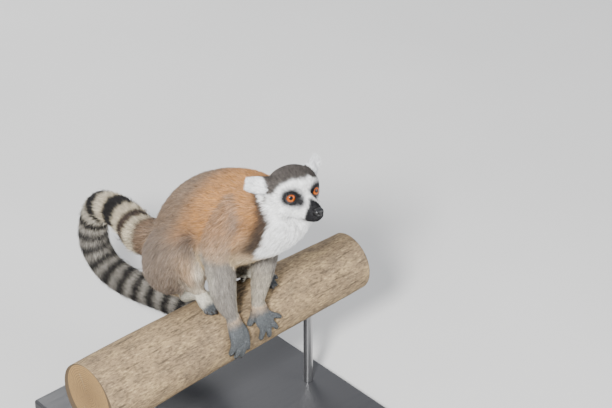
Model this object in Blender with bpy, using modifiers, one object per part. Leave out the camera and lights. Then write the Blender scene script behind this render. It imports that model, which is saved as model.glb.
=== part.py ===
"""A ring-tailed lemur crouched across a branch, life size, on a plain display stand.

Lengths are in metres. The branch runs along X and the animal faces -Y. The origin is the
centre of the underside of the stand's base. The outline of each solid is that of the coat.
"""

import math

import bmesh
import bpy
import numpy as np
from mathutils import Matrix, Vector

CM = 0.01
GAP = 0.0003
CLEARANCE = 0.0005

# Stand: a bevelled plate and two rods that hold the branch.
BASE_LENGTH = 0.32
BASE_DEPTH = 0.34
BASE_THICKNESS = 0.018
BASE_BEVEL = 0.003
ROD_RADIUS = 0.006
ROD_SPREAD = 0.125

# Branch: its axis lies over the line y = PERCH_Y, and it tapers towards +X.
PERCH_Y = -0.03
PERCH_Z = 0.17
PERCH_LEFT = -21.5
PERCH_RIGHT = 19.5
PERCH_RADIUS = 4.2
PERCH_TAPER = 0.022
PERCH_SAG = 0.0016

# Head: a point between the eyes, in centimetres from the branch's axis, and how it is turned.
EYES_MIDDLE = (0.6, -12.36, 23.9)
HEAD_YAW = 7.0
HEAD_PITCH = 15.0
HEAD_ROLL = 4.0
EYE_SPACING = 3.36
EYE_RADIUS = 0.76
EYE_DEPTH = 0.50
EYE_SPLAY = 21.0

# Tail: its length from root to tip is parted into this many lengths.
TAIL_LENGTHS = 7

FAWN = (0.50, 0.36, 0.24)
GREY_FAWN = (0.40, 0.33, 0.27)
LIMB_GREY = (0.42, 0.40, 0.37)
SKIN_GREY = (0.13, 0.14, 0.15)
WHITE = (0.80, 0.79, 0.76)
DARK = (0.030, 0.022, 0.020)
ORANGE = (0.85, 0.20, 0.02)
BARK = (0.36, 0.26, 0.18)
PAINT = (0.10, 0.105, 0.11)
STEEL = (0.42, 0.42, 0.43)


def clear_scene():
    for old in list(bpy.data.objects):
        bpy.data.objects.remove(old)


def new_collection(name):
    made = bpy.data.collections.new(name)
    bpy.context.scene.collection.children.link(made)
    return made


def material(name, colour, roughness, metallic=0.0):
    made = bpy.data.materials.new(name)
    made.use_nodes = True
    shader = made.node_tree.nodes["Principled BSDF"]
    shader.inputs["Base Color"].default_value = (*colour, 1.0)
    shader.inputs["Roughness"].default_value = roughness
    shader.inputs["Metallic"].default_value = metallic
    made.diffuse_color = (*colour, 1.0)
    return made


def place(x, y, z):
    """A point given in centimetres from the branch's axis at mid length."""
    return Vector((x * CM, PERCH_Y + y * CM, PERCH_Z + z * CM))


def perch_radius(x):
    return PERCH_RADIUS - PERCH_TAPER * x


def on_perch(x, angle, lift):
    """A point lift above the bark, at an angle in degrees from its top towards the front."""
    reach = perch_radius(x) + lift
    turn = math.radians(angle)
    return (x, -reach * math.sin(turn), reach * math.cos(turn) - PERCH_SAG * min(x, 0.0) ** 2)


def turned_axes():
    """The head's own forward, left and up directions."""
    yaw, pitch, roll = map(math.radians, (HEAD_YAW, HEAD_PITCH, HEAD_ROLL))
    forward = Vector(
        (-math.sin(yaw) * math.cos(pitch), -math.cos(yaw) * math.cos(pitch), math.sin(pitch))
    )
    level = Vector((math.cos(yaw), -math.sin(yaw), 0.0))
    upright = level.cross(forward) * -1.0
    left = level * math.cos(roll) - upright * math.sin(roll)
    up = upright * math.cos(roll) + level * math.sin(roll)
    return forward, left, up


FORWARD, LEFT, UP = turned_axes()


def in_head(forward, left, up):
    """A point in centimetres from the middle of the eyes, along the head's own axes."""
    offset = FORWARD * forward + LEFT * left + UP * up
    return tuple(Vector(EYES_MIDDLE) + offset)


def smooth_path(rows, per_span=24):
    """A cubic through rows of numbers, spaced by the distance between their first three."""
    rows = np.array(rows, float)
    gaps = np.linalg.norm(np.diff(rows[:, :3], axis=0), axis=1)
    knots = np.concatenate([[0.0], np.cumsum(gaps)])
    slopes = np.empty_like(rows)
    steps = np.diff(rows, axis=0) / gaps[:, None]
    slopes[0], slopes[-1] = steps[0], steps[-1]
    before, after = gaps[:-1, None], gaps[1:, None]
    slopes[1:-1] = (steps[:-1] * after + steps[1:] * before) / (before + after)
    spans = []
    for i, gap in enumerate(gaps):
        t = np.linspace(0, 1, per_span, endpoint=False)[:, None]
        spans.append(
            rows[i] * (2 * t**3 - 3 * t**2 + 1)
            + rows[i + 1] * (3 * t**2 - 2 * t**3)
            + slopes[i] * gap * (t**3 - 2 * t**2 + t)
            + slopes[i + 1] * gap * (t**3 - t**2)
        )
    return np.vstack([*spans, rows[-1:]])


def arc_length(path):
    gaps = np.linalg.norm(np.diff(path[:, :3], axis=0), axis=1)
    return np.concatenate([[0.0], np.cumsum(gaps)])


def resample(path, start, end, count):
    """Rows at even steps of arc length between two distances along a path."""
    length = arc_length(path)
    at = np.linspace(start, end, count)
    return np.stack([np.interp(at, length, column) for column in path.T], axis=1)


def add_mesh(name, points, faces):
    mesh = bpy.data.meshes.new(name)
    mesh.from_pydata([tuple(p) for p in points], [], faces)
    work = bmesh.new()
    work.from_mesh(mesh)
    bmesh.ops.recalc_face_normals(work, faces=work.faces)
    work.to_mesh(mesh)
    work.free()
    made = bpy.data.objects.new(name, mesh)
    bpy.context.scene.collection.objects.link(made)
    return made


def ring_rows(path, rings, start, end, across):
    """Rows along a path, each with the directions across and up that its ring lies in."""
    full = smooth_path(path)
    total = arc_length(full)[-1]
    headings = np.gradient(full[:, :3], axis=0)
    headings /= np.linalg.norm(headings, axis=1)[:, None]
    table = np.hstack([full, headings])
    rows = resample(table, start, total if end is None else end, rings)
    tangents = rows[:, 5:8] / np.linalg.norm(rows[:, 5:8], axis=1)[:, None]
    reference = np.array(across, float)
    side = reference - (tangents @ reference)[:, None] * tangents
    side /= np.linalg.norm(side, axis=1)[:, None]
    return rows, tangents, side, np.cross(tangents, side)


def loft(name, path, rings, sides, start=0.0, end=None, domes=(1.0, 1.0), across=(1, 0, 0), grow=0.0):
    """A closed body along a path of (x, y, z, half width, half height) rows in centimetres.

    Each ring lies square to the path. Each end has a dome whose height is that share of the
    smaller half size there, or is flat where the share is 0. The body can be grown outwards.
    """
    rows, tangents, side, lift = ring_rows(path, rings, start, end, across)
    spread = grow / CM
    stations = [
        (rows[i, :3], rows[i, 3] + spread, rows[i, 4] + spread, side[i], lift[i])
        for i in range(rings)
    ]
    ends, tips = {}, {}
    for which, sign in ((0, -1.0), (-1, 1.0)):
        centre, wide, high, s, u = stations[which]
        reach = tangents[which] * sign
        bulge = min(wide, high) * domes[which]
        ends[which] = [
            (centre + reach * bulge * math.sin(a), wide * math.cos(a), high * math.cos(a), s, u)
            for a in ((0.5, 1.0) if domes[which] else ())
        ]
        tips[which] = centre + reach * bulge
        if spread and not domes[which]:
            stations[which] = (centre + reach * spread, wide, high, s, u)
    stations = ends[0][::-1] + stations + ends[-1]
    turn = np.linspace(0, 2 * math.pi, sides, endpoint=False)
    points = [
        place(*(c + w * math.cos(a) * s + h * math.sin(a) * u))
        for c, w, h, s, u in stations
        for a in turn
    ]
    faces = []
    for ring in range(len(stations) - 1):
        for k in range(sides):
            a, b = ring * sides + k, ring * sides + (k + 1) % sides
            faces.append((a, b, b + sides, a + sides))
    for which, base in ((0, 0), (-1, (len(stations) - 1) * sides)):
        if domes[which]:
            points.append(place(*tips[which]))
            faces += [(base + k, base + (k + 1) % sides, len(points) - 1) for k in range(sides)]
        else:
            faces.append(tuple(base + k for k in range(sides)))
    return add_mesh(name, points, faces)


def ellipsoid(name, centre, radii, axes, segments=16, grow=0.0):
    """An ellipsoid with its three radii, in centimetres, along three right-handed directions."""
    mesh = bpy.data.meshes.new(name)
    work = bmesh.new()
    bmesh.ops.create_uvsphere(work, u_segments=segments, v_segments=segments // 2, radius=1.0)
    columns = [Vector(axis) * (r * CM + grow) for axis, r in zip(axes, radii)]
    matrix = Matrix(columns).transposed()
    for vertex in work.verts:
        vertex.co = matrix @ vertex.co + place(*centre)
    bmesh.ops.recalc_face_normals(work, faces=work.faces)
    work.to_mesh(mesh)
    work.free()
    made = bpy.data.objects.new(name, mesh)
    bpy.context.scene.collection.objects.link(made)
    return made


def slab(name, centre, halves, axes, grow=0.0):
    """A box with its half sizes, in centimetres, along three directions."""
    corners, middle = [], Vector(centre)
    for i in (-1, 1):
        for j in (-1, 1):
            for k in (-1, 1):
                reach = [h + grow / CM for h in halves]
                offset = (
                    Vector(axes[0]) * i * reach[0]
                    + Vector(axes[1]) * j * reach[1]
                    + Vector(axes[2]) * k * reach[2]
                )
                corners.append(place(*(middle + offset)))
    faces = [(0, 1, 3, 2), (4, 6, 7, 5), (0, 4, 5, 1), (2, 3, 7, 6), (0, 2, 6, 4), (1, 5, 7, 3)]
    return add_mesh(name, corners, faces)


def apply_modifiers(obj):
    """Makes the evaluated mesh the object's own."""
    graph = bpy.context.evaluated_depsgraph_get()
    mesh = bpy.data.meshes.new_from_object(obj.evaluated_get(graph), depsgraph=graph)
    obj.modifiers.clear()
    obj.data = mesh


def discard(obj):
    bpy.data.objects.remove(obj)


def boolean(target, cutter, operation):
    modifier = target.modifiers.new(operation.lower(), "BOOLEAN")
    modifier.operation = operation
    modifier.solver = "EXACT"
    modifier.object = cutter
    apply_modifiers(target)


def carve(target, *cutters):
    """Takes each cutter from the target and keeps the largest piece that is left."""
    for cutter in cutters:
        boolean(target, cutter, "DIFFERENCE")
        discard(cutter)
    keep_largest(target)


def keep_largest(obj):
    work = bmesh.new()
    work.from_mesh(obj.data)
    bmesh.ops.remove_doubles(work, verts=work.verts, dist=1e-6)
    islands, seen = [], set()
    for vertex in work.verts:
        if vertex.index in seen:
            continue
        group, queue = [], [vertex]
        seen.add(vertex.index)
        while queue:
            current = queue.pop()
            group.append(current)
            for edge in current.link_edges:
                other = edge.other_vert(current)
                if other.index not in seen:
                    seen.add(other.index)
                    queue.append(other)
        islands.append(group)
    islands.sort(key=len)
    for group in islands[:-1]:
        bmesh.ops.delete(work, geom=group, context="VERTS")
    work.to_mesh(obj.data)
    work.free()


def fuse(name, pieces, voxel, smoothing, triangles):
    """Joins overlapping bodies into one smooth skin of about the given number of triangles."""
    work = bmesh.new()
    for piece in pieces:
        work.from_mesh(piece.data)
        discard(piece)
    mesh = bpy.data.meshes.new(name)
    work.to_mesh(mesh)
    work.free()
    made = bpy.data.objects.new(name, mesh)
    bpy.context.scene.collection.objects.link(made)
    remesh = made.modifiers.new("union", "REMESH")
    remesh.mode = "VOXEL"
    remesh.voxel_size = voxel
    blend = made.modifiers.new("blend", "SMOOTH")
    blend.factor = 0.5
    blend.iterations = smoothing
    apply_modifiers(made)
    thin = made.modifiers.new("thin", "DECIMATE")
    thin.ratio = triangles / (2 * len(made.data.polygons))
    apply_modifiers(made)
    keep_largest(made)
    return made


def swollen(obj, name, amount=GAP):
    """A copy of a body with its surface moved outwards."""
    copy = bpy.data.objects.new(name, obj.data.copy())
    bpy.context.scene.collection.objects.link(copy)
    push = copy.modifiers.new("push", "DISPLACE")
    push.strength = amount * 1.5
    push.mid_level = 0.0
    apply_modifiers(copy)
    return copy


def finish(obj, collection, finish_material):
    for old in list(obj.users_collection):
        old.objects.unlink(obj)
    collection.objects.link(obj)
    obj.data.materials.clear()
    obj.data.materials.append(finish_material)
    return obj


# --- the branch and what holds it -------------------------------------------------------


def perch_body(name, grow=0.0):
    """A tapered, slightly uneven round length of branch with sawn ends."""
    xs = np.linspace(PERCH_LEFT, PERCH_RIGHT, 9)
    rows = [(x, 0.0, -PERCH_SAG * min(x, 0.0) ** 2, perch_radius(x), perch_radius(x)) for x in xs]
    return loft(name, rows, 4, 26, domes=(0.0, 0.0), across=(0, 1, 0), grow=grow)


def stand_base():
    made = add_box("stand_base", BASE_LENGTH, BASE_DEPTH, BASE_THICKNESS)
    bevel = made.modifiers.new("edges", "BEVEL")
    bevel.width = BASE_BEVEL
    bevel.segments = 2
    bevel.limit_method = "ANGLE"
    apply_modifiers(made)
    return made


def add_box(name, length, depth, height):
    x, y = length / 2, depth / 2
    points = [(sx * x, sy * y, z) for z in (0.0, height) for sy in (-1, 1) for sx in (-1, 1)]
    faces = [(0, 1, 3, 2), (4, 6, 7, 5), (0, 4, 5, 1), (1, 5, 7, 3), (3, 7, 6, 2), (2, 6, 4, 0)]
    return add_mesh(name, points, faces)


def stand_rod(name, x):
    """A round rod from just above the base to the underside of the branch."""
    foot = (BASE_THICKNESS + GAP - PERCH_Z) / CM
    r = ROD_RADIUS / CM
    made = loft(name, [(x, 0.0, foot, r, r), (x, 0.0, -1.0, r, r)], 2, 22, domes=(0.0, 0.0))
    carve(made, perch_body("clearance", GAP))
    return made


# --- the trunk ---------------------------------------------------------------------------

# Rows of x, y, z, half width and half height, from the rump to the head.
SPINE = (
    (0.0, 8.9, 2.2, 3.3, 2.7),
    (0.0, 8.7, 4.2, 4.3, 3.9),
    (0.0, 7.6, 7.2, 4.7, 5.0),
    (-0.1, 4.9, 11.0, 5.0, 5.8),
    (-0.1, 0.9, 14.5, 5.2, 6.0),
    (0.1, -3.2, 16.9, 5.0, 5.6),
    (0.3, -6.6, 18.5, 4.3, 4.8),
    (0.5, -8.8, 20.2, 3.8, 4.0),
    (0.6, -9.9, 21.7, 3.4, 3.5),
)
TRUNK_RINGS_PER_CM = 0.75
TRUNK_SIDES = 16
SPINE_PARTS = (("pelvis", 0.0, 7.2), ("belly", 7.2, 13.6), ("chest", 13.6, 20.8), ("neck", 20.8, None))


def trunk_part(name, start, end, first, grow=0.0):
    total = arc_length(smooth_path(SPINE))[-1]
    stop = total if end is None else end - GAP / CM
    rings = max(4, round((stop - start) * TRUNK_RINGS_PER_CM) + 1)
    return loft(name, SPINE, rings, TRUNK_SIDES, start, stop, domes=(first, 0.0), grow=grow)


# --- the limbs: each row is x, y, z, half width, half height -------------------------------

ARMS = {
    "right": (
        (-2.6, -5.2, 19.2, 2.3, 2.5),
        (-3.4, -3.4, 15.8, 2.2, 2.4),
        (-3.5, -2.1, 12.9, 1.9, 2.0),
        (-3.2, -2.3, 9.6, 1.85, 1.85),
        (-3.3, -2.9, 6.4, 1.5, 1.5),
        (*on_perch(-2.9, 38, 1.35), 1.0, 0.90),
    ),
    "left": (
        (2.8, -5.2, 19.0, 2.3, 2.5),
        (3.5, -3.8, 15.6, 2.2, 2.4),
        (3.5, -2.9, 12.6, 1.9, 2.0),
        (2.7, -3.1, 9.4, 1.6, 1.7),
        (1.9, -3.3, 6.4, 1.2, 1.3),
        (*on_perch(1.35, 38, 1.35), 0.85, 0.80),
    ),
}
ARM_PARTS = (("upper_arm", 0.0, 0.47), ("forearm", 0.4718, 1.0))


def arm_part(name, side, start, end, grow=0.0):
    path = ARMS[side]
    total = arc_length(smooth_path(path))[-1]
    domes = (1.0 if start == 0.0 else 0.0, 0.0)
    return loft(name, path, 6, 12, total * start, total * end, domes=domes, grow=grow)


THIGH = (
    (3.15, 8.2, 5.0, 2.95, 3.5),
    (3.7, 6.7, 7.4, 3.2, 3.9),
    (4.5, 3.9, 11.0, 2.7, 3.2),
    (5.0, 1.6, 13.2, 1.8, 1.9),
)
SHIN = (
    (4.9, 1.3, 12.6, 1.5, 1.6),
    (4.6, 1.9, 10.3, 1.6, 1.95),
    (4.18, 1.62, 8.3, 1.68, 1.8),
    (3.93, 1.75, 7.1, 1.38, 1.4),
)


def arm_clearances(side):
    """Both lengths of an arm with the gap round them, to be taken from what they meet."""
    return [arm_part("clearance", side, start, end, CLEARANCE) for _, start, end in ARM_PARTS]


def mirrored(rows, side):
    sign = -1.0 if side == "right" else 1.0
    return tuple((sign * row[0], *row[1:]) for row in rows)


def thigh(name, side, grow=0.0):
    return loft(name, mirrored(THIGH, side), 6, 14, grow=grow)


def shin(name, side, grow=0.0):
    return loft(name, mirrored(SHIN, side), 5, 12, grow=grow)


def leg_clearances(side):
    """The thigh and the shin with the gap round them."""
    return [thigh("clearance", side, CLEARANCE), shin("clearance", side, CLEARANCE)]


# --- hands and feet: places on the bark are given by x and the angle round the branch ------

DIGIT_RADIUS = 0.40
DIGIT_SIDES = 8

# Each digit runs from (x, angle) to (x, angle). The last of each is the thumb or great toe.
HANDS = {
    "right": {
        "palm": ((-2.65, 36, 1.30, 0.80, 0.72), (-2.75, 54, 0.80, 1.15, 0.62), (-2.7, 74, 0.62, 1.30, 0.50)),
        "digits": (
            ((-3.45, 68), (-4.05, 92)),
            ((-3.0, 74), (-3.15, 104)),
            ((-2.4, 74), (-2.2, 109)),
            ((-1.85, 70), (-1.35, 98)),
            ((-2.1, 50), (-1.35, 78)),
        ),
    },
    "left": {
        "palm": ((1.35, 36, 1.30, 0.80, 0.72), (1.35, 52, 0.80, 1.15, 0.62), (1.5, 70, 0.62, 1.30, 0.50)),
        "digits": (
            ((2.35, 60), (3.95, 74)),
            ((2.1, 68), (3.25, 89)),
            ((1.55, 70), (2.1, 97)),
            ((0.95, 68), (0.75, 94)),
            ((0.75, 46), (-0.55, 62)),
        ),
    },
}
FEET = {
    "right": {
        "palm": (
            (-3.7, -46, 1.05, 1.0, 0.90),
            (-3.8, -22, 1.4, 1.0, 1.1),
            (-3.8, -8, 1.25, 1.0, 0.95),
            (-4.05, 3, 0.62, 0.98, 0.48),
        ),
        "digits": (
            ((-4.6, 2), (-4.85, 17)),
            ((-4.25, 5), (-4.45, 22)),
            ((-3.8, 5), (-3.9, 23)),
            ((-3.4, 2), (-3.4, 18)),
            ((-3.4, -26), (-2.1, -12)),
        ),
    },
    "left": {
        "palm": (
            (3.9, -46, 1.05, 0.95, 0.90),
            (4.05, -24, 1.3, 0.98, 1.0),
            (4.3, -8, 0.9, 1.0, 0.70),
            (4.6, 2, 0.62, 1.2, 0.48),
        ),
        "digits": (
            ((5.3, -6), (6.1, 16)),
            ((4.9, 0), (5.4, 27)),
            ((4.4, 0), (4.75, 28)),
            ((3.9, -4), (4.0, 20)),
            ((3.9, -26), (2.6, -10)),
        ),
    },
}


def digit(start, end, radius):
    """A digit that arches a little off the bark and comes down at its tip."""
    rows = []
    for share, lift, swell in ((0.0, 0.50, 1.0), (0.45, 0.72, 1.0), (1.0, 0.40, 0.86)):
        x = start[0] + (end[0] - start[0]) * share
        angle = start[1] + (end[1] - start[1]) * share
        rows.append((*on_perch(x, angle, lift), radius * swell, radius * swell))
    return loft("digit", rows, 5, DIGIT_SIDES)


def extremity(name, plan, triangles):
    """A palm or sole with five digits, fused and eased off the bark."""
    palm = [(*on_perch(x, angle, lift), wide, high) for x, angle, lift, wide, high in plan["palm"]]
    pieces = [loft("palm", palm, 6, 12)]
    for k, (start, end) in enumerate(plan["digits"]):
        pieces.append(digit(start, end, DIGIT_RADIUS * (1.15 if k == 4 else 1.0)))
    made = fuse(name, pieces, 0.0011, 2, triangles)
    carve(made, perch_body("clearance", GAP))
    return made


# --- the tail ------------------------------------------------------------------------------

# Rows of x, y, z, half width and half height, from the root inside the rump to the tip.
TAIL = (
    (-0.6, 10.2, 7.0, 2.5, 2.5),
    (-1.6, 14.4, 6.0, 2.55, 2.55),
    (-0.3, 19.0, 5.4, 2.3, 2.3),
    (0.6, 23.2, 4.6, 2.15, 2.15),
    (1.0, 27.0, 3.0, 2.05, 2.05),
    (0.9, 28.4, 0.2, 2.0, 2.0),
    (0.7, 28.4, -2.4, 2.05, 2.05),
    (0.8, 27.4, -4.5, 2.05, 2.05),
    (1.1, 25.7, -6.0, 2.05, 2.05),
    (1.8, 23.4, -6.9, 2.05, 2.05),
    (2.7, 20.9, -7.4, 2.0, 2.0),
    (3.7, 18.0, -7.6, 2.0, 2.0),
    (4.4, 15.0, -7.8, 1.95, 1.95),
    (4.4, 12.0, -8.2, 1.85, 1.85),
    (3.4, 9.7, -8.8, 1.7, 1.7),
    (1.6, 8.1, -9.4, 1.45, 1.45),
    (-0.8, 7.0, -9.8, 1.05, 1.05),
)


def tail_part(name, start, end, last, grow=0.0):
    half_gap = GAP / CM / 2
    return loft(name, TAIL, 7, 12, start + half_gap, end - half_gap, domes=(0.0, last), grow=grow)


# --- the head ------------------------------------------------------------------------------


def head_rows(stations):
    """Loft rows from (forward, half width, top, bottom) in the head's own axes."""
    rows = []
    for forward, wide, top, bottom in stations:
        rows.append((*in_head(forward, 0.0, (top + bottom) / 2), wide, (top - bottom) / 2))
    return rows


CRANIUM = (
    (-4.6, 1.9, 1.2, -2.3),
    (-3.8, 2.7, 2.15, -2.7),
    (-2.8, 3.15, 2.8, -2.95),
    (-2.0, 3.25, 3.0, -3.05),
    (-1.3, 3.05, 2.75, -3.0),
    (-0.8, 2.65, 2.25, -2.9),
    (-0.4, 2.1, 1.6, -2.75),
    (-0.15, 1.5, 0.95, -2.4),
)
MUZZLE = (
    (-1.0, 1.75, 0.7, -3.15),
    (0.0, 1.48, 0.52, -3.15),
    (0.8, 1.28, 0.08, -3.12),
    (1.5, 1.12, -0.32, -3.00),
    (2.1, 0.98, -0.62, -2.82),
    (2.7, 0.80, -0.95, -2.46),
)


def head_blob(forward, left, up, radii):
    return ellipsoid("blob", in_head(forward, left, up), radii, (FORWARD, LEFT, UP))


def eye_centre(sign):
    """Behind the middle of the iris, along the gaze."""
    gaze = eye_gaze(sign)
    middle = Vector(in_head(0.05, sign * EYE_SPACING / 2, 0.0))
    return tuple(middle - gaze * EYE_DEPTH)


def eye_gaze(sign):
    splay = math.radians(EYE_SPLAY)
    return (FORWARD * math.cos(splay) + LEFT * sign * math.sin(splay) + UP * 0.08).normalized()


def head_body():
    pieces = [
        loft("cranium", head_rows(CRANIUM), 13, 28, across=LEFT, domes=(0.6, 0.12)),
        loft("muzzle", head_rows(MUZZLE), 11, 18, across=LEFT, domes=(0.5, 0.55)),
    ]
    for sign in (-1, 1):
        pieces.append(head_blob(-1.75, sign * 1.75, -1.45, (1.5, 1.3, 1.45)))
        pieces.append(head_blob(-0.75, sign * 1.45, 0.95, (0.75, 0.95, 0.5)))
    made = fuse("head", pieces, 0.0012, 10, 1000)
    rows, tangents, side, lift = ring_rows(SPINE, 2, 0.0, None, (1, 0, 0))
    middle = rows[-1, :3] + tangents[-1] * (GAP / CM - 4.0)
    carve(made, slab("cell", middle, (8.0, 8.0, 4.0), (side[-1], lift[-1], tangents[-1])))
    return made


EAR_RISE = {-1: 0.22, 1: 0.5}
EAR = (
    (0.0, 1.24, 0.75),
    (0.8, 1.20, 0.72),
    (1.6, 1.08, 0.62),
    (2.3, 0.94, 0.52),
    (2.7, 0.82, 0.42),
)


def ear_axes(sign):
    """Along the ear, across its width, and the way that its hollow faces."""
    along = (LEFT * sign * 0.82 + UP * EAR_RISE[sign] - FORWARD * 0.39).normalized()
    facing = FORWARD * 0.93 + LEFT * sign * 0.35
    facing = (facing - along * facing.dot(along)).normalized()
    return along, along.cross(facing).normalized(), facing


def ear(name, sign):
    """A rounded, shallow cup that stands out from the side of the crown."""
    along, width, facing = ear_axes(sign)
    root = Vector(in_head(-2.7, sign * 2.45, 0.95))
    rows = [(*(root + along * reach), wide, thick) for reach, wide, thick in EAR]
    made = loft(name, rows, 4, 12, across=width, domes=(0.5, 0.5))
    middle = tuple(root + along * 1.9 + facing * 0.85)
    hollow = ellipsoid("hollow", middle, (1.1, 0.72, 0.72), (width, along, facing), segments=12)
    carve(made, hollow)
    return made


def main():
    clear_scene()
    parts = new_collection("ring_tailed_lemur")
    coat = {
        "fawn": (FAWN, 0.9),
        "grey_fawn": (GREY_FAWN, 0.9),
        "limb_grey": (LIMB_GREY, 0.9),
        "skin_grey": (SKIN_GREY, 0.7),
        "white": (WHITE, 0.9),
        "dark": (DARK, 0.9),
        "nose": (DARK, 0.35),
        "iris": (ORANGE, 0.1),
        "bark": (BARK, 0.85),
        "paint": (PAINT, 0.5),
    }

    def keep(obj, key, metallic=0.0):
        colour, roughness = coat[key]
        finish(obj, parts, material(obj.name, colour, roughness, metallic))

    head = head_body()
    eyes = {}
    for side, sign in (("right", -1), ("left", 1)):
        centre, gaze = eye_centre(sign), eye_gaze(sign)
        across = gaze.cross(UP).normalized()
        axes = (across, gaze.cross(across).normalized(), gaze)
        radii = (EYE_RADIUS,) * 3
        eyes[side] = ellipsoid(f"eye_{side}", centre, radii, axes, segments=14)
        carve(head, ellipsoid("socket", centre, radii, axes, segments=14, grow=GAP * 2))

    jaw_axes = (
        (FORWARD * 0.985 + UP * 0.17).normalized(),
        LEFT,
        (UP * 0.985 - FORWARD * 0.17).normalized(),
    )
    jaw_centre = in_head(3.5, 0.0, -3.73)
    jaw = bpy.data.objects.new("lower_jaw", head.data.copy())
    bpy.context.scene.collection.objects.link(jaw)
    cell = slab("cell", jaw_centre, (2.6, 2.5, 1.5), jaw_axes)
    boolean(jaw, cell, "INTERSECT")
    discard(cell)
    keep_largest(jaw)
    carve(head, slab("cell", jaw_centre, (2.6, 2.5, 1.5), jaw_axes, grow=GAP))

    nose_centre = in_head(2.85, 0.0, -1.44)
    nose_radii = (0.62, 0.60, 0.46)
    nose = bpy.data.objects.new("nose", head.data.copy())
    bpy.context.scene.collection.objects.link(nose)
    cell = ellipsoid("cell", nose_centre, nose_radii, (FORWARD, LEFT, UP), 16)
    boolean(nose, cell, "INTERSECT")
    discard(cell)
    keep_largest(nose)
    carve(head, ellipsoid("cell", nose_centre, nose_radii, (FORWARD, LEFT, UP), 16, grow=GAP))

    ears = {"right": ear("ear_right", -1), "left": ear("ear_left", 1)}
    for side in ears:
        carve(ears[side], swollen(head, "clearance"))

    trunk = {}
    for k, (name, start, end) in enumerate(SPINE_PARTS):
        trunk[name] = trunk_part(name, start, end, 1.0 if k == 0 else 0.0)

    arms = {}
    for side in ("right", "left"):
        for name, start, end in ARM_PARTS:
            arms[f"{name}_{side}"] = arm_part(f"{name}_{side}", side, start, end)
    legs = {}
    for side in ("right", "left"):
        legs[f"thigh_{side}"] = thigh(f"thigh_{side}", side)
        legs[f"shin_{side}"] = shin(f"shin_{side}", side)
        carve(legs[f"shin_{side}"], thigh("clearance", side, GAP))

    for side in ("right", "left"):
        for name in ("chest", "belly", "neck"):
            carve(trunk[name], *arm_clearances(side))
        for name in ("pelvis", "belly", "chest"):
            carve(trunk[name], *leg_clearances(side))
        for name in (f"upper_arm_{side}", f"forearm_{side}"):
            carve(arms[name], *leg_clearances(side))

    hands = {side: extremity(f"hand_{side}", HANDS[side], 330) for side in HANDS}
    feet = {side: extremity(f"foot_{side}", FEET[side], 250) for side in FEET}
    for side in ("right", "left"):
        carve(hands[side], *arm_clearances(side))
        carve(feet[side], *leg_clearances(side))
        carve(trunk["pelvis"], swollen(feet[side], "clearance"))
    for obj in (trunk["pelvis"], trunk["belly"], legs["thigh_right"], legs["thigh_left"], *arms.values()):
        carve(obj, perch_body("clearance", GAP))

    total = arc_length(smooth_path(TAIL))[-1]
    cuts = np.linspace(0.0, total, TAIL_LENGTHS + 1)
    tail = []
    for k in range(TAIL_LENGTHS):
        tail.append(tail_part(f"tail_{k + 1}", cuts[k], cuts[k + 1], float(k == TAIL_LENGTHS - 1)))
    for obj in (trunk["pelvis"], legs["thigh_right"], legs["thigh_left"]):
        carve(obj, tail_part("clearance", cuts[0], cuts[1], 0.0, GAP))

    for name, obj in trunk.items():
        keep(obj, "fawn" if name != "pelvis" else "grey_fawn")
    for obj in (*arms.values(), *legs.values()):
        keep(obj, "limb_grey")
    for obj in (*hands.values(), *feet.values()):
        keep(obj, "skin_grey")
    for obj in tail:
        keep(obj, "dark")
    for obj in (head, jaw, *ears.values()):
        keep(obj, "white")
    keep(nose, "nose")
    for obj in eyes.values():
        keep(obj, "iris")
    keep(perch_body("perch"), "bark")
    keep(stand_base(), "paint")
    for name, sign in (("left", -1), ("right", 1)):
        rod = stand_rod(f"stand_rod_{name}", sign * ROD_SPREAD / CM)
        finish(rod, parts, material(rod.name, STEEL, 0.35, 1.0))


main()
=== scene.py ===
import bmesh
import bpy
import numpy as np
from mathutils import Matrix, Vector


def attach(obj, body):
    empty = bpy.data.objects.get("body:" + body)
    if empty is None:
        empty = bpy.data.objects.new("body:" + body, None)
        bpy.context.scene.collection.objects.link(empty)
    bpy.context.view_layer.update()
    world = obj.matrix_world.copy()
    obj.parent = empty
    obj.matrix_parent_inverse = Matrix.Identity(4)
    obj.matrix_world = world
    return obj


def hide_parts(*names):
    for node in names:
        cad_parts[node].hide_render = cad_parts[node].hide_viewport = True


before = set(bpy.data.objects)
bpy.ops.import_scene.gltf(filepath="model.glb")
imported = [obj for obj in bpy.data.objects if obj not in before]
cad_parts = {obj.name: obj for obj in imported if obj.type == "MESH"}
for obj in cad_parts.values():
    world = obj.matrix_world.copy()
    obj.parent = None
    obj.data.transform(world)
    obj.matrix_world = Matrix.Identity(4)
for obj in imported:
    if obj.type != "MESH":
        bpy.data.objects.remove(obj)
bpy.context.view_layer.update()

# --- The stand: a flat board, painted satin charcoal over a fine grain, and two brushed steel
# rods that go up into the branch. Both keep the solids' own shapes.


class Wire:
    """A socket of a node tree. Python's operators on it, with wires or numbers, add Math nodes."""

    def __init__(self, tree, socket):
        self.tree = tree
        self.socket = socket

    def math(self, operation, first, second=None):
        """Adds a Math node fed by wires or numbers."""
        made = self.tree.nodes.new("ShaderNodeMath")
        made.operation = operation
        for place, value in enumerate((first, second)):
            if isinstance(value, Wire):
                self.tree.links.new(value.socket, made.inputs[place])
            elif value is not None:
                made.inputs[place].default_value = value
        return Wire(self.tree, made.outputs[0])

    def __add__(self, other):
        return self.math("ADD", self, other)

    def __sub__(self, other):
        return self.math("SUBTRACT", self, other)

    def __rsub__(self, other):
        return self.math("SUBTRACT", other, self)

    def __mul__(self, other):
        return self.math("MULTIPLY", self, other)

    def __pow__(self, other):
        return self.math("POWER", self, other)

    __radd__ = __add__
    __rmul__ = __mul__

    def clamped(self):
        """The value held between 0 and 1."""
        return self.math("MINIMUM", self.math("MAXIMUM", self, 0.0), 1.0)


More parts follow.
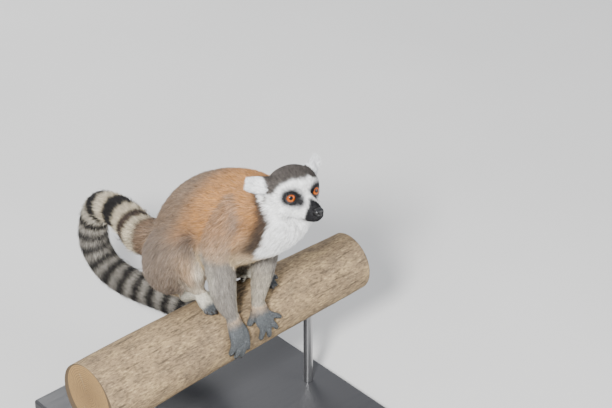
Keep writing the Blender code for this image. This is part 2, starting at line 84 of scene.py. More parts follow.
class Finish:
    """A material of one Principled shader, whose sockets take numbers, colours or wires."""

    def __init__(self, name, **constants):
        self.material = bpy.data.materials.new(name)
        self.material.use_nodes = True
        self.tree = self.material.node_tree
        self.shader = self.tree.nodes["Principled BSDF"]
        for socket, value in constants.items():
            self.shader.inputs[socket.replace("_", " ")].default_value = value

    def node(self, kind, settings=(), outlet=0, **inputs):
        """Adds a node: first its settings, then its sockets, and gives the outlet asked for."""
        made = self.tree.nodes.new("ShaderNode" + kind)
        for setting, value in dict(settings).items():
            setattr(made, setting, value)
        for socket, value in inputs.items():
            where = made.inputs[socket.replace("_", " ")]
            if isinstance(value, Wire):
                self.tree.links.new(value.socket, where)
            else:
                where.default_value = value
        return Wire(self.tree, made.outputs[outlet])

    def places(self, scale):
        """The piece's own coordinates, stretched by a scale along each axis."""
        own = self.node("TexCoord", outlet=3)
        return self.node("Mapping", {"vector_type": "POINT"}, Vector=own, Scale=scale)

    def noise(self, scale, detail=4.0, stretch=(1, 1, 1)):
        """Soft noise from 0 to 1, with its spots to the metre along each stretched axis."""
        return self.node("TexNoise", Vector=self.places(stretch), Scale=scale, Detail=detail)

    def mix(self, share, first, second):
        """A colour between two: the share is a number or a wire."""
        made = self.tree.nodes.new("ShaderNodeMix")
        made.data_type = "RGBA"
        for place, value in ((0, share), (6, first), (7, second)):
            if isinstance(value, Wire):
                self.tree.links.new(value.socket, made.inputs[place])
            else:
                made.inputs[place].default_value = value
        return Wire(self.tree, made.outputs[2])

    def feed(self, **inputs):
        """Links wires to the shader's sockets."""
        for socket, wire in inputs.items():
            self.tree.links.new(wire.socket, self.shader.inputs[socket.replace("_", " ")])

    def bump(self, height, strength, distance):
        """Raises the surface in its shading by a height times a distance in metres."""
        made = self.node("Bump", Height=height, Strength=strength, Distance=distance)
        self.feed(Normal=made)


def rgb(red, green, blue):
    """A colour given in display steps of 0 to 255, as the linear values that shaders take."""
    share = np.array((red, green, blue)) / 255.0
    linear = np.where(share <= 0.04045, share / 12.92, ((share + 0.055) / 1.055) ** 2.4)
    return (*linear.tolist(), 1.0)


paint = Finish("charcoal_paint", Roughness=0.42)
grain = paint.noise(14.0, 6.0, (1.0, 14.0, 14.0))
paint.feed(Base_Color=paint.mix(grain, rgb(36, 36, 38), rgb(45, 45, 47)))
paint.feed(Roughness=grain * 0.22 + 0.34)
paint.bump(grain, 0.25, 0.0004)

steel = Finish("brushed_steel", Metallic=1.0, Roughness=0.32)
brushing = steel.noise(220.0, 2.0, (1.0, 1.0, 0.05))
steel.feed(Base_Color=steel.mix(brushing, rgb(150, 150, 152), rgb(190, 190, 190)))
steel.feed(Roughness=brushing * 0.2 + 0.24)

for node, finish in (("stand_base", paint), ("stand_rod_left", steel), ("stand_rod_right", steel)):
    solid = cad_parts[node]
    solid.data.materials.clear()
    solid.data.materials.append(finish.material)

# --- The branch: a sawn length of dry hardwood under thin smooth bark, with lengthwise
# streaks, a few healed knots and shallow cracks. Its sawn ends show rings and checks.

# A centimetre in metres, and where the middle of the branch's axis lies in the frame.
CM = 0.01
BRANCH_MIDDLE = np.array((0.0, -0.03, 0.17))
# The branch's ends along its axis, its radius at the middle, what the radius loses to each
# centimetre towards the left, and how fast the right half sinks.
BRANCH_ENDS = (-21.5, 19.5)
BRANCH_RADIUS = 4.2
BRANCH_TAPER = 0.022
BRANCH_SAG = 0.0016
# The sawn faces' rounded rim, measured along the branch.
RIM = 0.06
# Each knot: its place along the branch, its angle from the top in degrees, size and depth.
KNOTS = (
    (-16.5, 30.0, 1.0, 0.10),
    (-9.5, 70.0, 0.45, 0.07),
    (8.3, 62.0, 0.55, 0.08),
    (12.6, 20.0, 0.4, 0.06),
    (-12.0, -80.0, 0.8, 0.09),
    (4.0, -120.0, 0.9, 0.10),
    (15.2, 140.0, 0.7, 0.09),
)


def to_world(points):
    """Centimetres from the branch's axis to metres from the centre of the base's underside."""
    return np.asarray(points) * CM + BRANCH_MIDDLE


def to_cm(points):
    """Metres to centimetres from the branch's axis, the inverse of to_world."""
    return (points - BRANCH_MIDDLE) / CM


def face_middles(mesh):
    """The middle of each face, in centimetres from the branch's axis."""
    flat = np.empty(len(mesh.polygons) * 3, np.float32)
    mesh.polygons.foreach_get("center", flat)
    return to_cm(flat.reshape(-1, 3))


def ripple(points, pitch, seed, waves=7):
    """Smooth unevenness from -1 to 1: the mean of plane waves of about one pitch, scaled up."""
    draw = np.random.default_rng(seed)
    heading = draw.normal(size=(waves, 3))
    heading /= np.linalg.norm(heading, axis=1)[:, None]
    heading *= 2 * np.pi / (pitch * draw.uniform(0.7, 1.5, (waves, 1)))
    phase = draw.uniform(0, 2 * np.pi, waves)
    return np.clip(np.sin(points @ heading.T + phase).mean(axis=-1) * np.sqrt(waves) * 0.7, -1, 1)


def add_piece(name, points, corners, sizes, finish, smooth=True):
    """A mesh from its points, the corners of all its faces in turn, and each face's size."""
    mesh = bpy.data.meshes.new(name)
    mesh.vertices.add(len(points))
    mesh.vertices.foreach_set("co", np.asarray(points, np.float32).ravel())
    mesh.loops.add(len(corners))
    mesh.loops.foreach_set("vertex_index", np.asarray(corners, np.int32).ravel())
    mesh.polygons.add(len(sizes))
    starts = np.cumsum(sizes) - sizes
    mesh.polygons.foreach_set("loop_start", starts.astype(np.int32))
    mesh.polygons.foreach_set("use_smooth", np.full(len(sizes), smooth))
    mesh.update(calc_edges=True)
    mesh.materials.append(finish.material)
    made = bpy.data.objects.new(name, mesh)
    bpy.context.scene.collection.objects.link(made)
    return made


def grid_corners(rows, columns, first=0):
    """Corners of the faces between rows of points, each row closed into a ring."""
    row, column = np.meshgrid(np.arange(rows - 1), np.arange(columns), indexing="ij")
    here = row * columns + column
    beside = row * columns + (column + 1) % columns
    faces = np.stack([here, beside, beside + columns, here + columns], axis=-1)
    return faces.reshape(-1, 4) + first


def add_rings(name, points, finish):
    """A band from rings of points, in centimetres from the branch's axis."""
    corners = grid_corners(*points.shape[:2])
    sizes = np.full(len(corners), 4)
    return add_piece(name, to_world(points).reshape(-1, 3), corners.ravel(), sizes, finish)


def close_up(piece, gap=1e-7):
    """Merges points that meet, such as a ring shrunk to a pole, and turns all faces outwards."""
    work = bmesh.new()
    work.from_mesh(piece.data)
    bmesh.ops.remove_doubles(work, verts=work.verts, dist=gap)
    bmesh.ops.recalc_face_normals(work, faces=work.faces)
    work.to_mesh(piece.data)
    work.free()


def bark_reach(x, angle):
    """Distance from the axis: the tapered radius less dents, knots and lengthwise cracks."""
    radius = BRANCH_RADIUS - BRANCH_TAPER * x
    spot = np.stack([x, radius * np.sin(angle), radius * np.cos(angle)], axis=-1)
    dents = 0.018 * (1 + ripple(spot, 5.0, 1)) + 0.008 * (1 + ripple(spot, 1.6, 2))
    streaks = ripple(spot * (0.3, 1.0, 1.0), 0.42, 3)
    dents = dents + 0.012 * np.clip(streaks - 0.35, 0, 1)
    for knot_x, knot_angle, size, depth in KNOTS:
        off = (angle - np.radians(knot_angle) + np.pi) % (2 * np.pi) - np.pi
        q = ((x - knot_x) / (1.5 * size)) ** 2 + (off * radius / size) ** 2
        dents = dents + depth * np.exp(-2 * q) - 0.4 * depth * np.exp(-3 * (q - 1.1) ** 2)
    return radius - np.clip(dents, 0, None)


def branch_rings(side_rows=240, cap_rows=16, around=180):
    """Rings from the middle of one sawn end, out over its edge, along the bark and back in."""
    turn = np.linspace(0, 2 * np.pi, around, endpoint=False)
    ends = []
    for end, out in ((0, -1.0), (1, 1.0)):
        x = BRANCH_ENDS[end]
        share = np.linspace(0, 1, cap_rows)[:, None]
        rim = bark_reach(np.full_like(turn, x), turn)
        reach = rim * share * np.where(share == 1, 0.985, 1.0)
        checks = np.exp(-((np.sin(turn * 1.5 + 0.7) / 0.05) ** 2)) * share * (1 - share) * 4
        depth = 0.05 * checks + 0.012 * np.sin(reach * 9 + 0.6 * np.sin(turn * 3)) + 0.03
        depth = np.where(share == 1, 0.03, depth)
        ends.append((x - out * depth, reach))
    x = np.linspace(BRANCH_ENDS[0] + 0.05, BRANCH_ENDS[1] - 0.05, side_rows)[:, None]
    x = np.broadcast_to(x, (side_rows, around))
    reach = bark_reach(x, np.broadcast_to(turn, x.shape))
    x = np.concatenate([ends[0][0], x, ends[1][0][::-1]])
    reach = np.concatenate([ends[0][1], reach, ends[1][1][::-1]])
    sag = BRANCH_SAG * np.minimum(x, 0.0) ** 2
    return np.stack([x, -reach * np.sin(turn), reach * np.cos(turn) - sag], axis=-1)


bark = Finish("smooth_bark", Roughness=0.8, Specular_IOR_Level=0.25)
broad = bark.noise(20.0, 5.0, (0.5, 1.0, 1.0))
patches = bark.noise(75.0, 6.0, (0.6, 1.0, 1.0))
fine = bark.noise(520.0, 6.0, (0.35, 1.0, 1.0))
fleck = bark.noise(1100.0, 4.0, (0.7, 1.0, 1.0))
cracks = bark.noise(210.0, 4.0, (0.14, 1.0, 1.0))
tone = bark.mix(((broad - 0.35) * 3.0).clamped(), rgb(122, 104, 81), rgb(140, 119, 89))
tone = bark.mix(((patches - 0.52) * 7.0).clamped() * 0.45, tone, rgb(172, 149, 108))
tone = bark.mix(((0.46 - patches) * 9.0).clamped() * 0.45, tone, rgb(90, 79, 65))
tone = bark.mix(((fine - 0.5) * 9.0).clamped() * 0.6, tone, rgb(72, 62, 51))
tone = bark.mix(((0.42 - fine) * 9.0).clamped() * 0.4, tone, rgb(189, 168, 126))
tone = bark.mix(((cracks - 0.60) * 14.0).clamped() * 0.65, tone, rgb(58, 50, 42))
tone = bark.mix(((fleck - 0.60) * 9.0).clamped() * 0.5, tone, rgb(60, 52, 44))
bark.feed(Base_Color=tone)
bark.feed(Roughness=fine * 0.15 + 0.8)
bark.bump(fine * 0.8 + patches * 0.3 + cracks * 0.5 + fleck * 0.4, 0.7, 0.0012)

sawn = Finish("sawn_wood", Roughness=0.75, Specular_IOR_Level=0.25)
middle = sawn.node("SeparateXYZ", Vector=sawn.places((1, 1, 1)), outlet=1) + 0.03
height = sawn.node("SeparateXYZ", Vector=sawn.places((1, 1, 1)), outlet=2) - 0.1695
reach = (middle * middle + height * height) ** 0.5
wobble = sawn.noise(30.0, 3.0)
rings = sawn.node("Math", {"operation": "SINE"}, Value=(reach + wobble * 0.006) * 2400.0)
pith = (1.0 - reach * 28.0).clamped()
wood = sawn.mix(rings * 0.35 + 0.5, rgb(154, 123, 74), rgb(112, 87, 59))
wood = sawn.mix(((sawn.noise(420.0, 3.0) - 0.5) * 3.0).clamped() * 0.5, wood, rgb(81, 65, 48))
wood = sawn.mix(pith * 0.4, wood, rgb(73, 57, 41))
wood = sawn.mix(((reach - 0.0385) * 900.0).clamped() * 0.8, wood, rgb(61, 53, 44))
sawn.feed(Base_Color=wood)
sawn.bump(rings * 0.3 + sawn.noise(900.0, 2.0), 0.5, 0.0006)

branch = add_rings("branch", branch_rings(), bark)
close_up(branch)
branch.data.materials.append(sawn.material)
face_x = face_middles(branch.data)[:, 0]
on_end = (face_x < BRANCH_ENDS[0] + RIM) | (face_x > BRANCH_ENDS[1] - RIM)
branch.data.polygons.foreach_set("material_index", on_end.astype(np.int32))
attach(branch, "root")
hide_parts("perch")

# --- The skin: one sheet under the whole coat, from the nose to the tip of the tail. It is
# made of all the flesh solids run together, and lies inside them by the coat's depth.

FLESH = [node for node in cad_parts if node.split("_")[0] not in ("perch", "stand", "nose")]
# The point midway between the eyes, and the head's own axes.
EYES_MIDDLE = np.array((0.6, -12.36, 23.9))
FORWARD = np.array((-0.11771674, -0.95872599, 0.25881904))
LEFT = np.array((0.98792815, -0.13949221, -0.06737958))
UP = np.array((0.10070179, 0.24776292, 0.96357298))
SKIN_VOXEL = 0.00125
# The eyeballs: their radius, how deep they sit, how far apart, and how far each looks aside.
EYE_RADIUS = 0.76
EYE_DEPTH = 0.50
EYE_SPACING = 3.36
EYE_SPLAY = np.radians(21.0)

# Each length of the body: rows of x, y, z and radius, in centimetres, in the hair's own
# direction. Then the coat's depth, the hair's length, its half width and hairs to the
# square centimetre, at the first row and at the last.
TRUNK_ROWS = (
    (0.6, -9.9, 21.7, 3.4),
    (0.5, -8.8, 20.2, 3.9),
    (0.3, -6.6, 18.5, 4.6),
    (0.1, -3.2, 16.9, 5.3),
    (-0.1, 0.9, 14.5, 5.6),
    (-0.1, 4.9, 11.0, 5.4),
    (0.0, 7.6, 7.2, 4.8),
    (0.0, 8.7, 4.2, 4.1),
    (0.0, 8.9, 2.2, 3.0),
)
ARM_ROWS = {
    "right": (
        (-2.6, -5.2, 19.2, 2.4),
        (-3.4, -3.4, 15.8, 2.3),
        (-3.5, -2.1, 12.9, 1.95),
        (-3.2, -2.3, 9.6, 1.85),
        (-3.3, -2.9, 6.4, 1.5),
        (-2.9, -3.3, 4.5, 0.95),
    ),
    "left": (
        (2.8, -5.2, 19.0, 2.4),
        (3.5, -3.8, 15.6, 2.3),
        (3.5, -2.9, 12.6, 1.95),
        (2.7, -3.1, 9.4, 1.65),
        (1.9, -3.3, 6.4, 1.25),
        (1.35, -3.3, 4.5, 0.85),
    ),
}
THIGH_ROWS = (
    (5.0, 1.6, 13.2, 1.9),
    (4.5, 3.9, 11.0, 3.0),
    (3.7, 6.7, 7.4, 3.6),
    (3.15, 8.2, 5.0, 3.3),
)
SHIN_ROWS = (
    (4.9, 1.3, 12.6, 1.55),
    (4.6, 1.9, 10.0, 1.8),
    (4.18, 1.62, 8.3, 1.8),
    (3.93, 1.75, 7.1, 1.45),
)
TAIL_ROWS = (
    (-0.6, 10.2, 7.0, 2.5),
    (-1.6, 14.4, 6.0, 2.55),
    (-0.3, 19.0, 5.4, 2.3),
    (0.6, 23.2, 4.6, 2.15),
    (1.0, 27.0, 3.0, 2.05),
    (0.9, 28.4, 0.2, 2.0),
    (0.7, 28.4, -2.4, 2.05),
    (0.8, 27.4, -4.5, 2.05),
    (1.1, 25.7, -6.0, 2.05),
    (1.8, 23.4, -6.9, 2.05),
    (2.7, 20.9, -7.4, 2.0),
    (3.7, 18.0, -7.6, 2.0),
    (4.4, 15.0, -7.8, 1.95),
    (4.4, 12.0, -8.2, 1.85),
    (3.4, 9.7, -8.8, 1.7),
    (1.6, 8.1, -9.4, 1.45),
    (-0.8, 7.0, -9.8, 1.05),
)
# Hands and feet lie on the bark: each digit runs between two places given as (x, angle from
# the top in degrees). The first pair of each is the palm's or the sole's own line.
DIGITS = {
    "hand_right": (
        ((-2.65, 40), (-2.7, 76)),
        ((-3.45, 68), (-4.05, 92)),
        ((-3.0, 74), (-3.15, 104)),
        ((-2.4, 74), (-2.2, 109)),
        ((-1.85, 70), (-1.35, 98)),
        ((-2.1, 50), (-1.35, 78)),
    ),
    "hand_left": (
        ((1.35, 40), (1.5, 72)),
        ((2.35, 60), (3.95, 74)),
        ((2.1, 68), (3.25, 89)),
        ((1.55, 70), (2.1, 97)),
        ((0.95, 68), (0.75, 94)),
        ((0.75, 46), (-0.55, 62)),
    ),
    "foot_right": (
        ((-3.75, -46), (-4.05, 4)),
        ((-4.6, 2), (-4.85, 17)),
        ((-4.25, 5), (-4.45, 22)),
        ((-3.8, 5), (-3.9, 23)),
        ((-3.4, 2), (-3.4, 18)),
        ((-3.4, -26), (-2.1, -12)),
    ),
    "foot_left": (
        ((4.0, -48), (4.6, -4)),
        ((5.3, -6), (6.1, 16)),
        ((4.9, 0), (5.4, 27)),
        ((4.4, 0), (4.75, 28)),
        ((3.9, -4), (4.0, 20)),
        ((3.9, -26), (2.6, -10)),
    ),
}
# The head's rows give forward, up and radius instead, in the head's own axes.
HEAD_ROWS = (
    (3.3, -1.5, 0.95),
    (2.4, -1.65, 1.15),
    (1.5, -1.6, 1.4),
    (0.6, -1.3, 1.75),
    (-0.5, -0.6, 2.7),
    (-1.8, 0.0, 3.2),
    (-3.2, -0.2, 3.0),
)
# Each ear's rows: distance from its root, and radius.
EAR_RADII = ((0.6, 1.0), (1.6, 0.85), (2.7, 0.6))


def in_head(forward, left, up):
    """A place in centimetres from the branch's axis, given along the head's own axes."""
    return EYES_MIDDLE + forward * FORWARD + left * LEFT + up * UP


def on_branch(x, angle, lift):
    """A place at a lift above the bark, at an angle in degrees from its top to the front."""
    reach = BRANCH_RADIUS - BRANCH_TAPER * x + lift
    turn = np.radians(angle)
    sag = BRANCH_SAG * np.minimum(x, 0.0) ** 2
    return np.stack([x + 0 * reach, -reach * np.sin(turn), reach * np.cos(turn) - sag], axis=-1)


def evenly(rows, step):
    """Rows at even steps along a path, by a cubic through the rows spaced by their distance."""
    rows = np.array(rows, float)
    gaps = np.linalg.norm(np.diff(rows[:, :3], axis=0), axis=1)
    slopes = np.gradient(rows, np.concatenate([[0], np.cumsum(gaps)]), axis=0)
    t = np.linspace(0, 1, 24, endpoint=False)[None, :, None]
    first, last = rows[:-1, None], rows[1:, None]
    gap = gaps[:, None, None]
    curve = first * (2 * t**3 - 3 * t**2 + 1) + last * (3 * t**2 - 2 * t**3)
    curve = curve + slopes[:-1, None] * gap * (t**3 - 2 * t**2 + t)
    curve = curve + slopes[1:, None] * gap * (t**3 - t**2)
    curve = np.vstack([curve.reshape(-1, rows.shape[1]), rows[-1:]])
    length = np.concatenate([[0], np.cumsum(np.linalg.norm(np.diff(curve[:, :3], axis=0), axis=1))])
    at = np.linspace(0, length[-1], max(3, int(length[-1] / step) + 1))
    return np.stack([np.interp(at, length, column) for column in curve.T], axis=1), at


CHARTS = []
STATIONS = []
# What each column of a station holds, after its place.
RADIUS = 3
TANGENT = slice(4, 7)
HEADING = slice(7, 10)
COAT = slice(10, 14)
ALONG = 14
CHART = 15


def add_guide(chart, rows, start, end, lean=(0, 0, 0), step=1.2, follow=1.0):
    """Puts stations along a path. start and end each give depth, length, half width, density."""
    path, at = evenly(rows, step)
    tangent = np.gradient(path[:, :3], axis=0)
    tangent /= np.linalg.norm(tangent, axis=1)[:, None]
    heading = tangent * follow + np.array(lean)
    heading /= np.linalg.norm(heading, axis=1)[:, None]
    share = (at / at[-1])[:, None]
    coat = np.array(start) * (1 - share) + np.array(end) * share
    if chart not in CHARTS:
        CHARTS.append(chart)
    marks = np.stack([at, np.full(len(at), CHARTS.index(chart))], axis=1)
    STATIONS.append(np.hstack([path[:, :4], tangent, heading, coat, marks]))


def ear_line(sign):
    """The way from an ear's root to its tip: the right ear is held lower than the left."""
    rise = 0.22 if sign < 0 else 0.5
    along = sign * 0.82 * LEFT + rise * UP - 0.39 * FORWARD
    return along / np.linalg.norm(along)


head_rows = [(*in_head(forward, 0.0, up), radius) for forward, up, radius in HEAD_ROWS]
add_guide("head", head_rows, (0.05, 0.3, 0.016, 700), (0.4, 1.0, 0.022, 480), step=0.8)
add_guide("trunk", TRUNK_ROWS, (0.6, 1.3, 0.024, 330), (0.75, 2.0, 0.029, 230))
for side, sign in (("right", -1), ("left", 1)):
    flip = np.array((sign, 1, 1, 1))
    add_guide(f"arm_{side}", ARM_ROWS[side], (0.65, 1.6, 0.026, 270), (0.16, 0.65, 0.017, 400))
    add_guide(
        f"thigh_{side}",
        np.array(THIGH_ROWS) * flip,
        (0.6, 1.6, 0.027, 240),
        (0.75, 1.9, 0.029, 230),
        lean=(0, 0.35, -0.95),
        follow=0.35,
    )
    shin_rows = np.array(SHIN_ROWS) * flip
    add_guide(f"shin_{side}", shin_rows, (0.5, 1.4, 0.025, 260), (0.35, 1.1, 0.022, 320))
    root = in_head(-2.7, sign * 2.45, 0.95)
    ear_rows = [(*(root + ear_line(sign) * reach), radius) for reach, radius in EAR_RADII]
    add_guide(f"ear_{side}", ear_rows, (0.13, 0.7, 0.013, 800), (0.14, 0.72, 0.011, 950), step=0.6)
# The coat of a paw at its wrist or ankle, at its knuckles and at its tips.
PAW_COATS = {
    "hand": ((0.1, 0.5, 0.013, 460), (0.02, 0.16, 0.008, 100), (0.01, 0.1, 0.006, 30)),
    "foot": ((0.16, 0.8, 0.017, 520), (0.1, 0.55, 0.015, 520), (0.03, 0.16, 0.009, 120)),
}
for paw, lines in DIGITS.items():
    for number, ((x0, a0), (x1, a1)) in enumerate(lines):
        lift = 0.75 if number == 0 else 0.5
        radius = 0.9 if number == 0 else 0.42
        share = np.linspace(0, 1, 4)
        path = on_branch(x0 + (x1 - x0) * share, a0 + (a1 - a0) * share, lift + 0 * share)
        rows = np.hstack([path, np.full((4, 1), radius)])
        wrist, knuckle, tip = PAW_COATS[paw.split("_")[0]]
        start, end = (wrist, knuckle) if number == 0 else (knuckle, tip)
        add_guide(paw, rows, start, end, step=0.5)
add_guide("tail", TAIL_ROWS, (1.0, 2.0, 0.032, 260), (0.55, 1.5, 0.028, 360), step=1.0)
STATIONS = np.vstack(STATIONS).astype(np.float32)


def guided(points, block=20000):
    """Averages the stations' headings and coats at each point, and finds its main station.

    A station's share falls as exp(-7 (q - q0)), where q is the squared distance over the
    squared radius and q0 is the least q at that point.
    """
    heading, coat, owner = [], [], []
    for first in range(0, len(points), block):
        here = points[first : first + block].astype(np.float32)
        q = ((here[:, None] - STATIONS[None, :, :3]) ** 2).sum(-1) / STATIONS[:, RADIUS] ** 2
        owner.append(q.argmin(1))
        share = np.exp(-7.0 * (q - q.min(1)[:, None]))
        share /= share.sum(1)[:, None]
        heading.append(share @ STATIONS[:, HEADING])
        coat.append(share @ STATIONS[:, COAT])
    return np.vstack(heading), np.vstack(coat), np.concatenate(owner)


def chart_of(owner):
    """The number of the length of body that each station belongs to."""
    return STATIONS[owner, CHART].astype(int)


def is_of(chart, *parts):
    """Whether each length of body is one of the parts, on either side."""
    return np.isin(chart, [number for number, name in enumerate(CHARTS) if name.startswith(parts)])


def unit(vectors):
    """The vectors made one long."""
    return vectors / (np.linalg.norm(vectors, axis=1)[:, None] + 1e-9)


def smoothstep(value, low, high):
    """0 below low, 1 above high, and an even S between them."""
    t = np.clip((value - low) / (high - low), 0, 1)
    return t * t * (3 - 2 * t)


def head_places(points):
    """Each point's place along the head's forward, left and up axes."""
    off = points - EYES_MIDDLE
    return off @ FORWARD, off @ LEFT, off @ UP


def eye_frame(sign):
    """The eyeball's centre and its gaze, nose-ward and upward directions."""
    gaze = np.cos(EYE_SPLAY) * FORWARD + np.sin(EYE_SPLAY) * sign * LEFT + 0.08 * UP
    gaze /= np.linalg.norm(gaze)
    nose_ward = -sign * LEFT - gaze * (-sign * LEFT @ gaze)
    nose_ward /= np.linalg.norm(nose_ward)
    upward = UP - gaze * (UP @ gaze) - nose_ward * (UP @ nose_ward)
    upward /= np.linalg.norm(upward)
    centre = in_head(0.05, sign * EYE_SPACING / 2, 0.0) - gaze * EYE_DEPTH
    return centre, gaze, nose_ward, upward


def coat_here(points, normals):
    """Heading, depth, length, half width, density and main station of the coat at points.

    The head's part is worked out from its own axes: hair runs back from the nose, out and
    down on the cheeks, up on the brow, and away from each eye, and is shortest at the front.
    """
    heading, coat, owner = guided(points)
    forward, left, up = head_places(points)
    chart = chart_of(owner)
    head = is_of(chart, "head").astype(float)

    width = np.hypot(left, up) + 0.3
    flow = -0.9 * FORWARD[None] + 0.3 * (left[:, None] * LEFT + up[:, None] * UP) / width[:, None]
    cheek = smoothstep(-up, 0.2, 1.6) * smoothstep(-forward, -1.0, 0.6)
    brow = smoothstep(up, 0.4, 1.3) * smoothstep(forward, -1.8, -0.4)
    flow = flow + cheek[:, None] * (-0.8 * UP + 0.35 * np.sign(left)[:, None] * LEFT)
    flow = flow + brow[:, None] * 0.8 * UP
    length = 0.28 + 0.30 * smoothstep(-forward, -1.6, 0.4) + 0.25 * cheek * smoothstep(-forward, -0.2, 1.4)
    length = length + 0.1 * smoothstep(-forward, 1.0, 3.0)
    near_eye = np.zeros(len(points))
    for sign in (-1, 1):
        centre, gaze, nose_ward, upward = eye_frame(sign)
        off = points - centre
        side = off @ nose_ward
        rise = off @ upward
        gap = np.hypot(side, rise) + 1e-6
        close = np.exp(-((gap / 1.45) ** 4)) * ((off @ gaze) > -0.3)
        away = (side[:, None] * nose_ward + rise[:, None] * upward) / gap[:, None]
        flow = flow + 2.4 * close[:, None] * away
        near_eye = np.maximum(near_eye, close)
    length = length * (1 - 0.66 * near_eye)
    flow /= np.linalg.norm(flow, axis=1)[:, None]
    heading = heading * (1 - head[:, None]) + flow * head[:, None]
    ears = is_of(chart, "ear")
    heading[ears] = heading[ears] + 0.8 * unit(points[ears] - STATIONS[owner[ears], :3])
    heading = heading - normals * (heading * normals).sum(1)[:, None]
    heading /= np.linalg.norm(heading, axis=1)[:, None] + 1e-9
    depth = coat[:, 0] * (1 - head) + 0.45 * (length - 0.12) * head
    spread = coat[:, 2] * (1 - head) + (0.012 + 0.012 * smoothstep(length, 0.2, 0.9)) * head
    density = coat[:, 3] * (1 - head) + (760 - 300 * smoothstep(length, 0.3, 1.0)) * head
    length = coat[:, 1] * (1 - head) + length * head
    depth = depth * (1 - 0.8 * near_eye)
    return heading, depth, length, spread, density, owner


def relaxed(points, edges, share, rounds):
    """Moves each point by a share of the way to its neighbours' mean, over and over."""
    count = len(points)
    one, other = edges[:, 0], edges[:, 1]
    near = np.bincount(one, minlength=count) + np.bincount(other, minlength=count)
    for _ in range(rounds):
        total = np.empty_like(points)
        for axis in range(3):
            total[:, axis] = np.bincount(one, points[other, axis], count)
            total[:, axis] += np.bincount(other, points[one, axis], count)
        points = points + share[:, None] * (total / near[:, None] - points)
    return points


def read_points(mesh, normals=False):
    """The mesh's points, or their normals, as rows."""
    flat = np.empty(len(mesh.vertices) * 3, np.float32)
    if normals:
        mesh.vertex_normals.foreach_get("vector", flat)
    else:
        mesh.vertices.foreach_get("co", flat)
    return flat.reshape(-1, 3).astype(float)


def read_edges(mesh):
    """The mesh's edges, as pairs of point numbers."""
    flat = np.empty(len(mesh.edges) * 2, np.int32)
    mesh.edges.foreach_get("vertices", flat)
    return flat.reshape(-1, 2)


def write_points(mesh, points):
    """Moves the mesh's points to new places."""
    mesh.vertices.foreach_set("co", np.asarray(points, np.float32).ravel())
    mesh.update()


def made_real(obj):
    """Makes the object's mesh what its modifiers make of it."""
    graph = bpy.context.evaluated_depsgraph_get()
    mesh = bpy.data.meshes.new_from_object(obj.evaluated_get(graph), depsgraph=graph)
    obj.modifiers.clear()
    obj.data = mesh


def run_together(name, nodes, swell, voxel):
    """One outer surface round all the nodes: each is swelled to close the gaps, then remeshed."""
    whole = bmesh.new()
    for node in nodes:
        work = bmesh.new()
        work.from_mesh(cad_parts[node].data)
        bmesh.ops.remove_doubles(work, verts=work.verts, dist=1e-5)
        mesh = bpy.data.meshes.new(node)
        work.to_mesh(mesh)
        work.free()
        write_points(mesh, read_points(mesh) + swell * read_points(mesh, normals=True))
        whole.from_mesh(mesh)
    mesh = bpy.data.meshes.new(name)
    whole.to_mesh(mesh)
    whole.free()
    made = bpy.data.objects.new(name, mesh)
    bpy.context.scene.collection.objects.link(made)
    remesh = made.modifiers.new("union", "REMESH")
    remesh.mode = "VOXEL"
    remesh.voxel_size = voxel
    made_real(made)
    return made


def subdivided(obj, chosen):
    """Cuts the chosen faces in four, and the faces beside them to match."""
    work = bmesh.new()
    work.from_mesh(obj.data)
    work.faces.ensure_lookup_table()
    edges = {edge for index in np.flatnonzero(chosen) for edge in work.faces[index].edges}
    bmesh.ops.subdivide_edges(work, edges=list(edges), cuts=1, use_grid_fill=True)
    bmesh.ops.triangulate(work, faces=[face for face in work.faces if len(face.verts) > 4])
    work.to_mesh(obj.data)
    work.free()


# The solids are swelled by this much, in metres, to close the gaps between them.
SWELL = 0.00035
# Rounds of easing that take the solids' facets off the outline, and then off the skin.
OUTLINE_ROUNDS = 36
SKIN_ROUNDS = 10
# The share of faces kept under long coat, and the depth of coat that counts as long.
KEPT_FACES = 0.42
LONG_COAT = ((0.25, 0.6), (0.45, 1.0))
# The height on the head below which lies the throat, and how far each eye's folds reach.
THROAT = -3.4
EYE_FOLDS = 1.25

outline = run_together("outline", FLESH, SWELL, SKIN_VOXEL)
points = to_cm(read_points(outline.data))
forward, left, up = head_places(points)
face = smoothstep(forward, -3.2, -1.6) * smoothstep(up, -4.0, -3.2)
_, coat, owner = guided(points)
chart = chart_of(owner)
paws = is_of(chart, "hand", "foot")
share = np.where(paws, 0.12, np.where(is_of(chart, "ear"), 0.3, 0.5)) * (1 - 0.55 * face)
points = relaxed(points, read_edges(outline.data), share, OUTLINE_ROUNDS)
write_points(outline.data, to_world(points))

skin = bpy.data.objects.new("skin", outline.data.copy())
bpy.context.scene.collection.objects.link(skin)
normals = read_points(skin.data, normals=True)
depth = coat_here(points, normals)[1]
points = points - normals * depth[:, None]
points = relaxed(points, read_edges(skin.data), 0.4 * (coat[:, 0] > 0.3), SKIN_ROUNDS)
write_points(skin.data, to_world(points))
thick = skin.vertex_groups.new(name="under_long_coat")
_, coat, _ = guided(points)
for low, weight in LONG_COAT:
    inside = np.flatnonzero((coat[:, 0] > low) & (face < 0.05))
    thick.add(inside.tolist(), weight, "REPLACE")
thin = skin.modifiers.new("fewer", "DECIMATE")
thin.ratio = KEPT_FACES
thin.vertex_group = thick.name
made_real(skin)
forward, left, up = head_places(face_middles(skin.data))
subdivided(skin, (forward > -1.3) & (up > THROAT) & (forward < 6))
middles = face_middles(skin.data)
forward, left, up = head_places(middles)
close = (forward > 2.6) & (up > THROAT)
for sign in (-1, 1):
    close |= np.linalg.norm(middles - eye_frame(sign)[0], axis=1) < EYE_FOLDS
subdivided(skin, close)


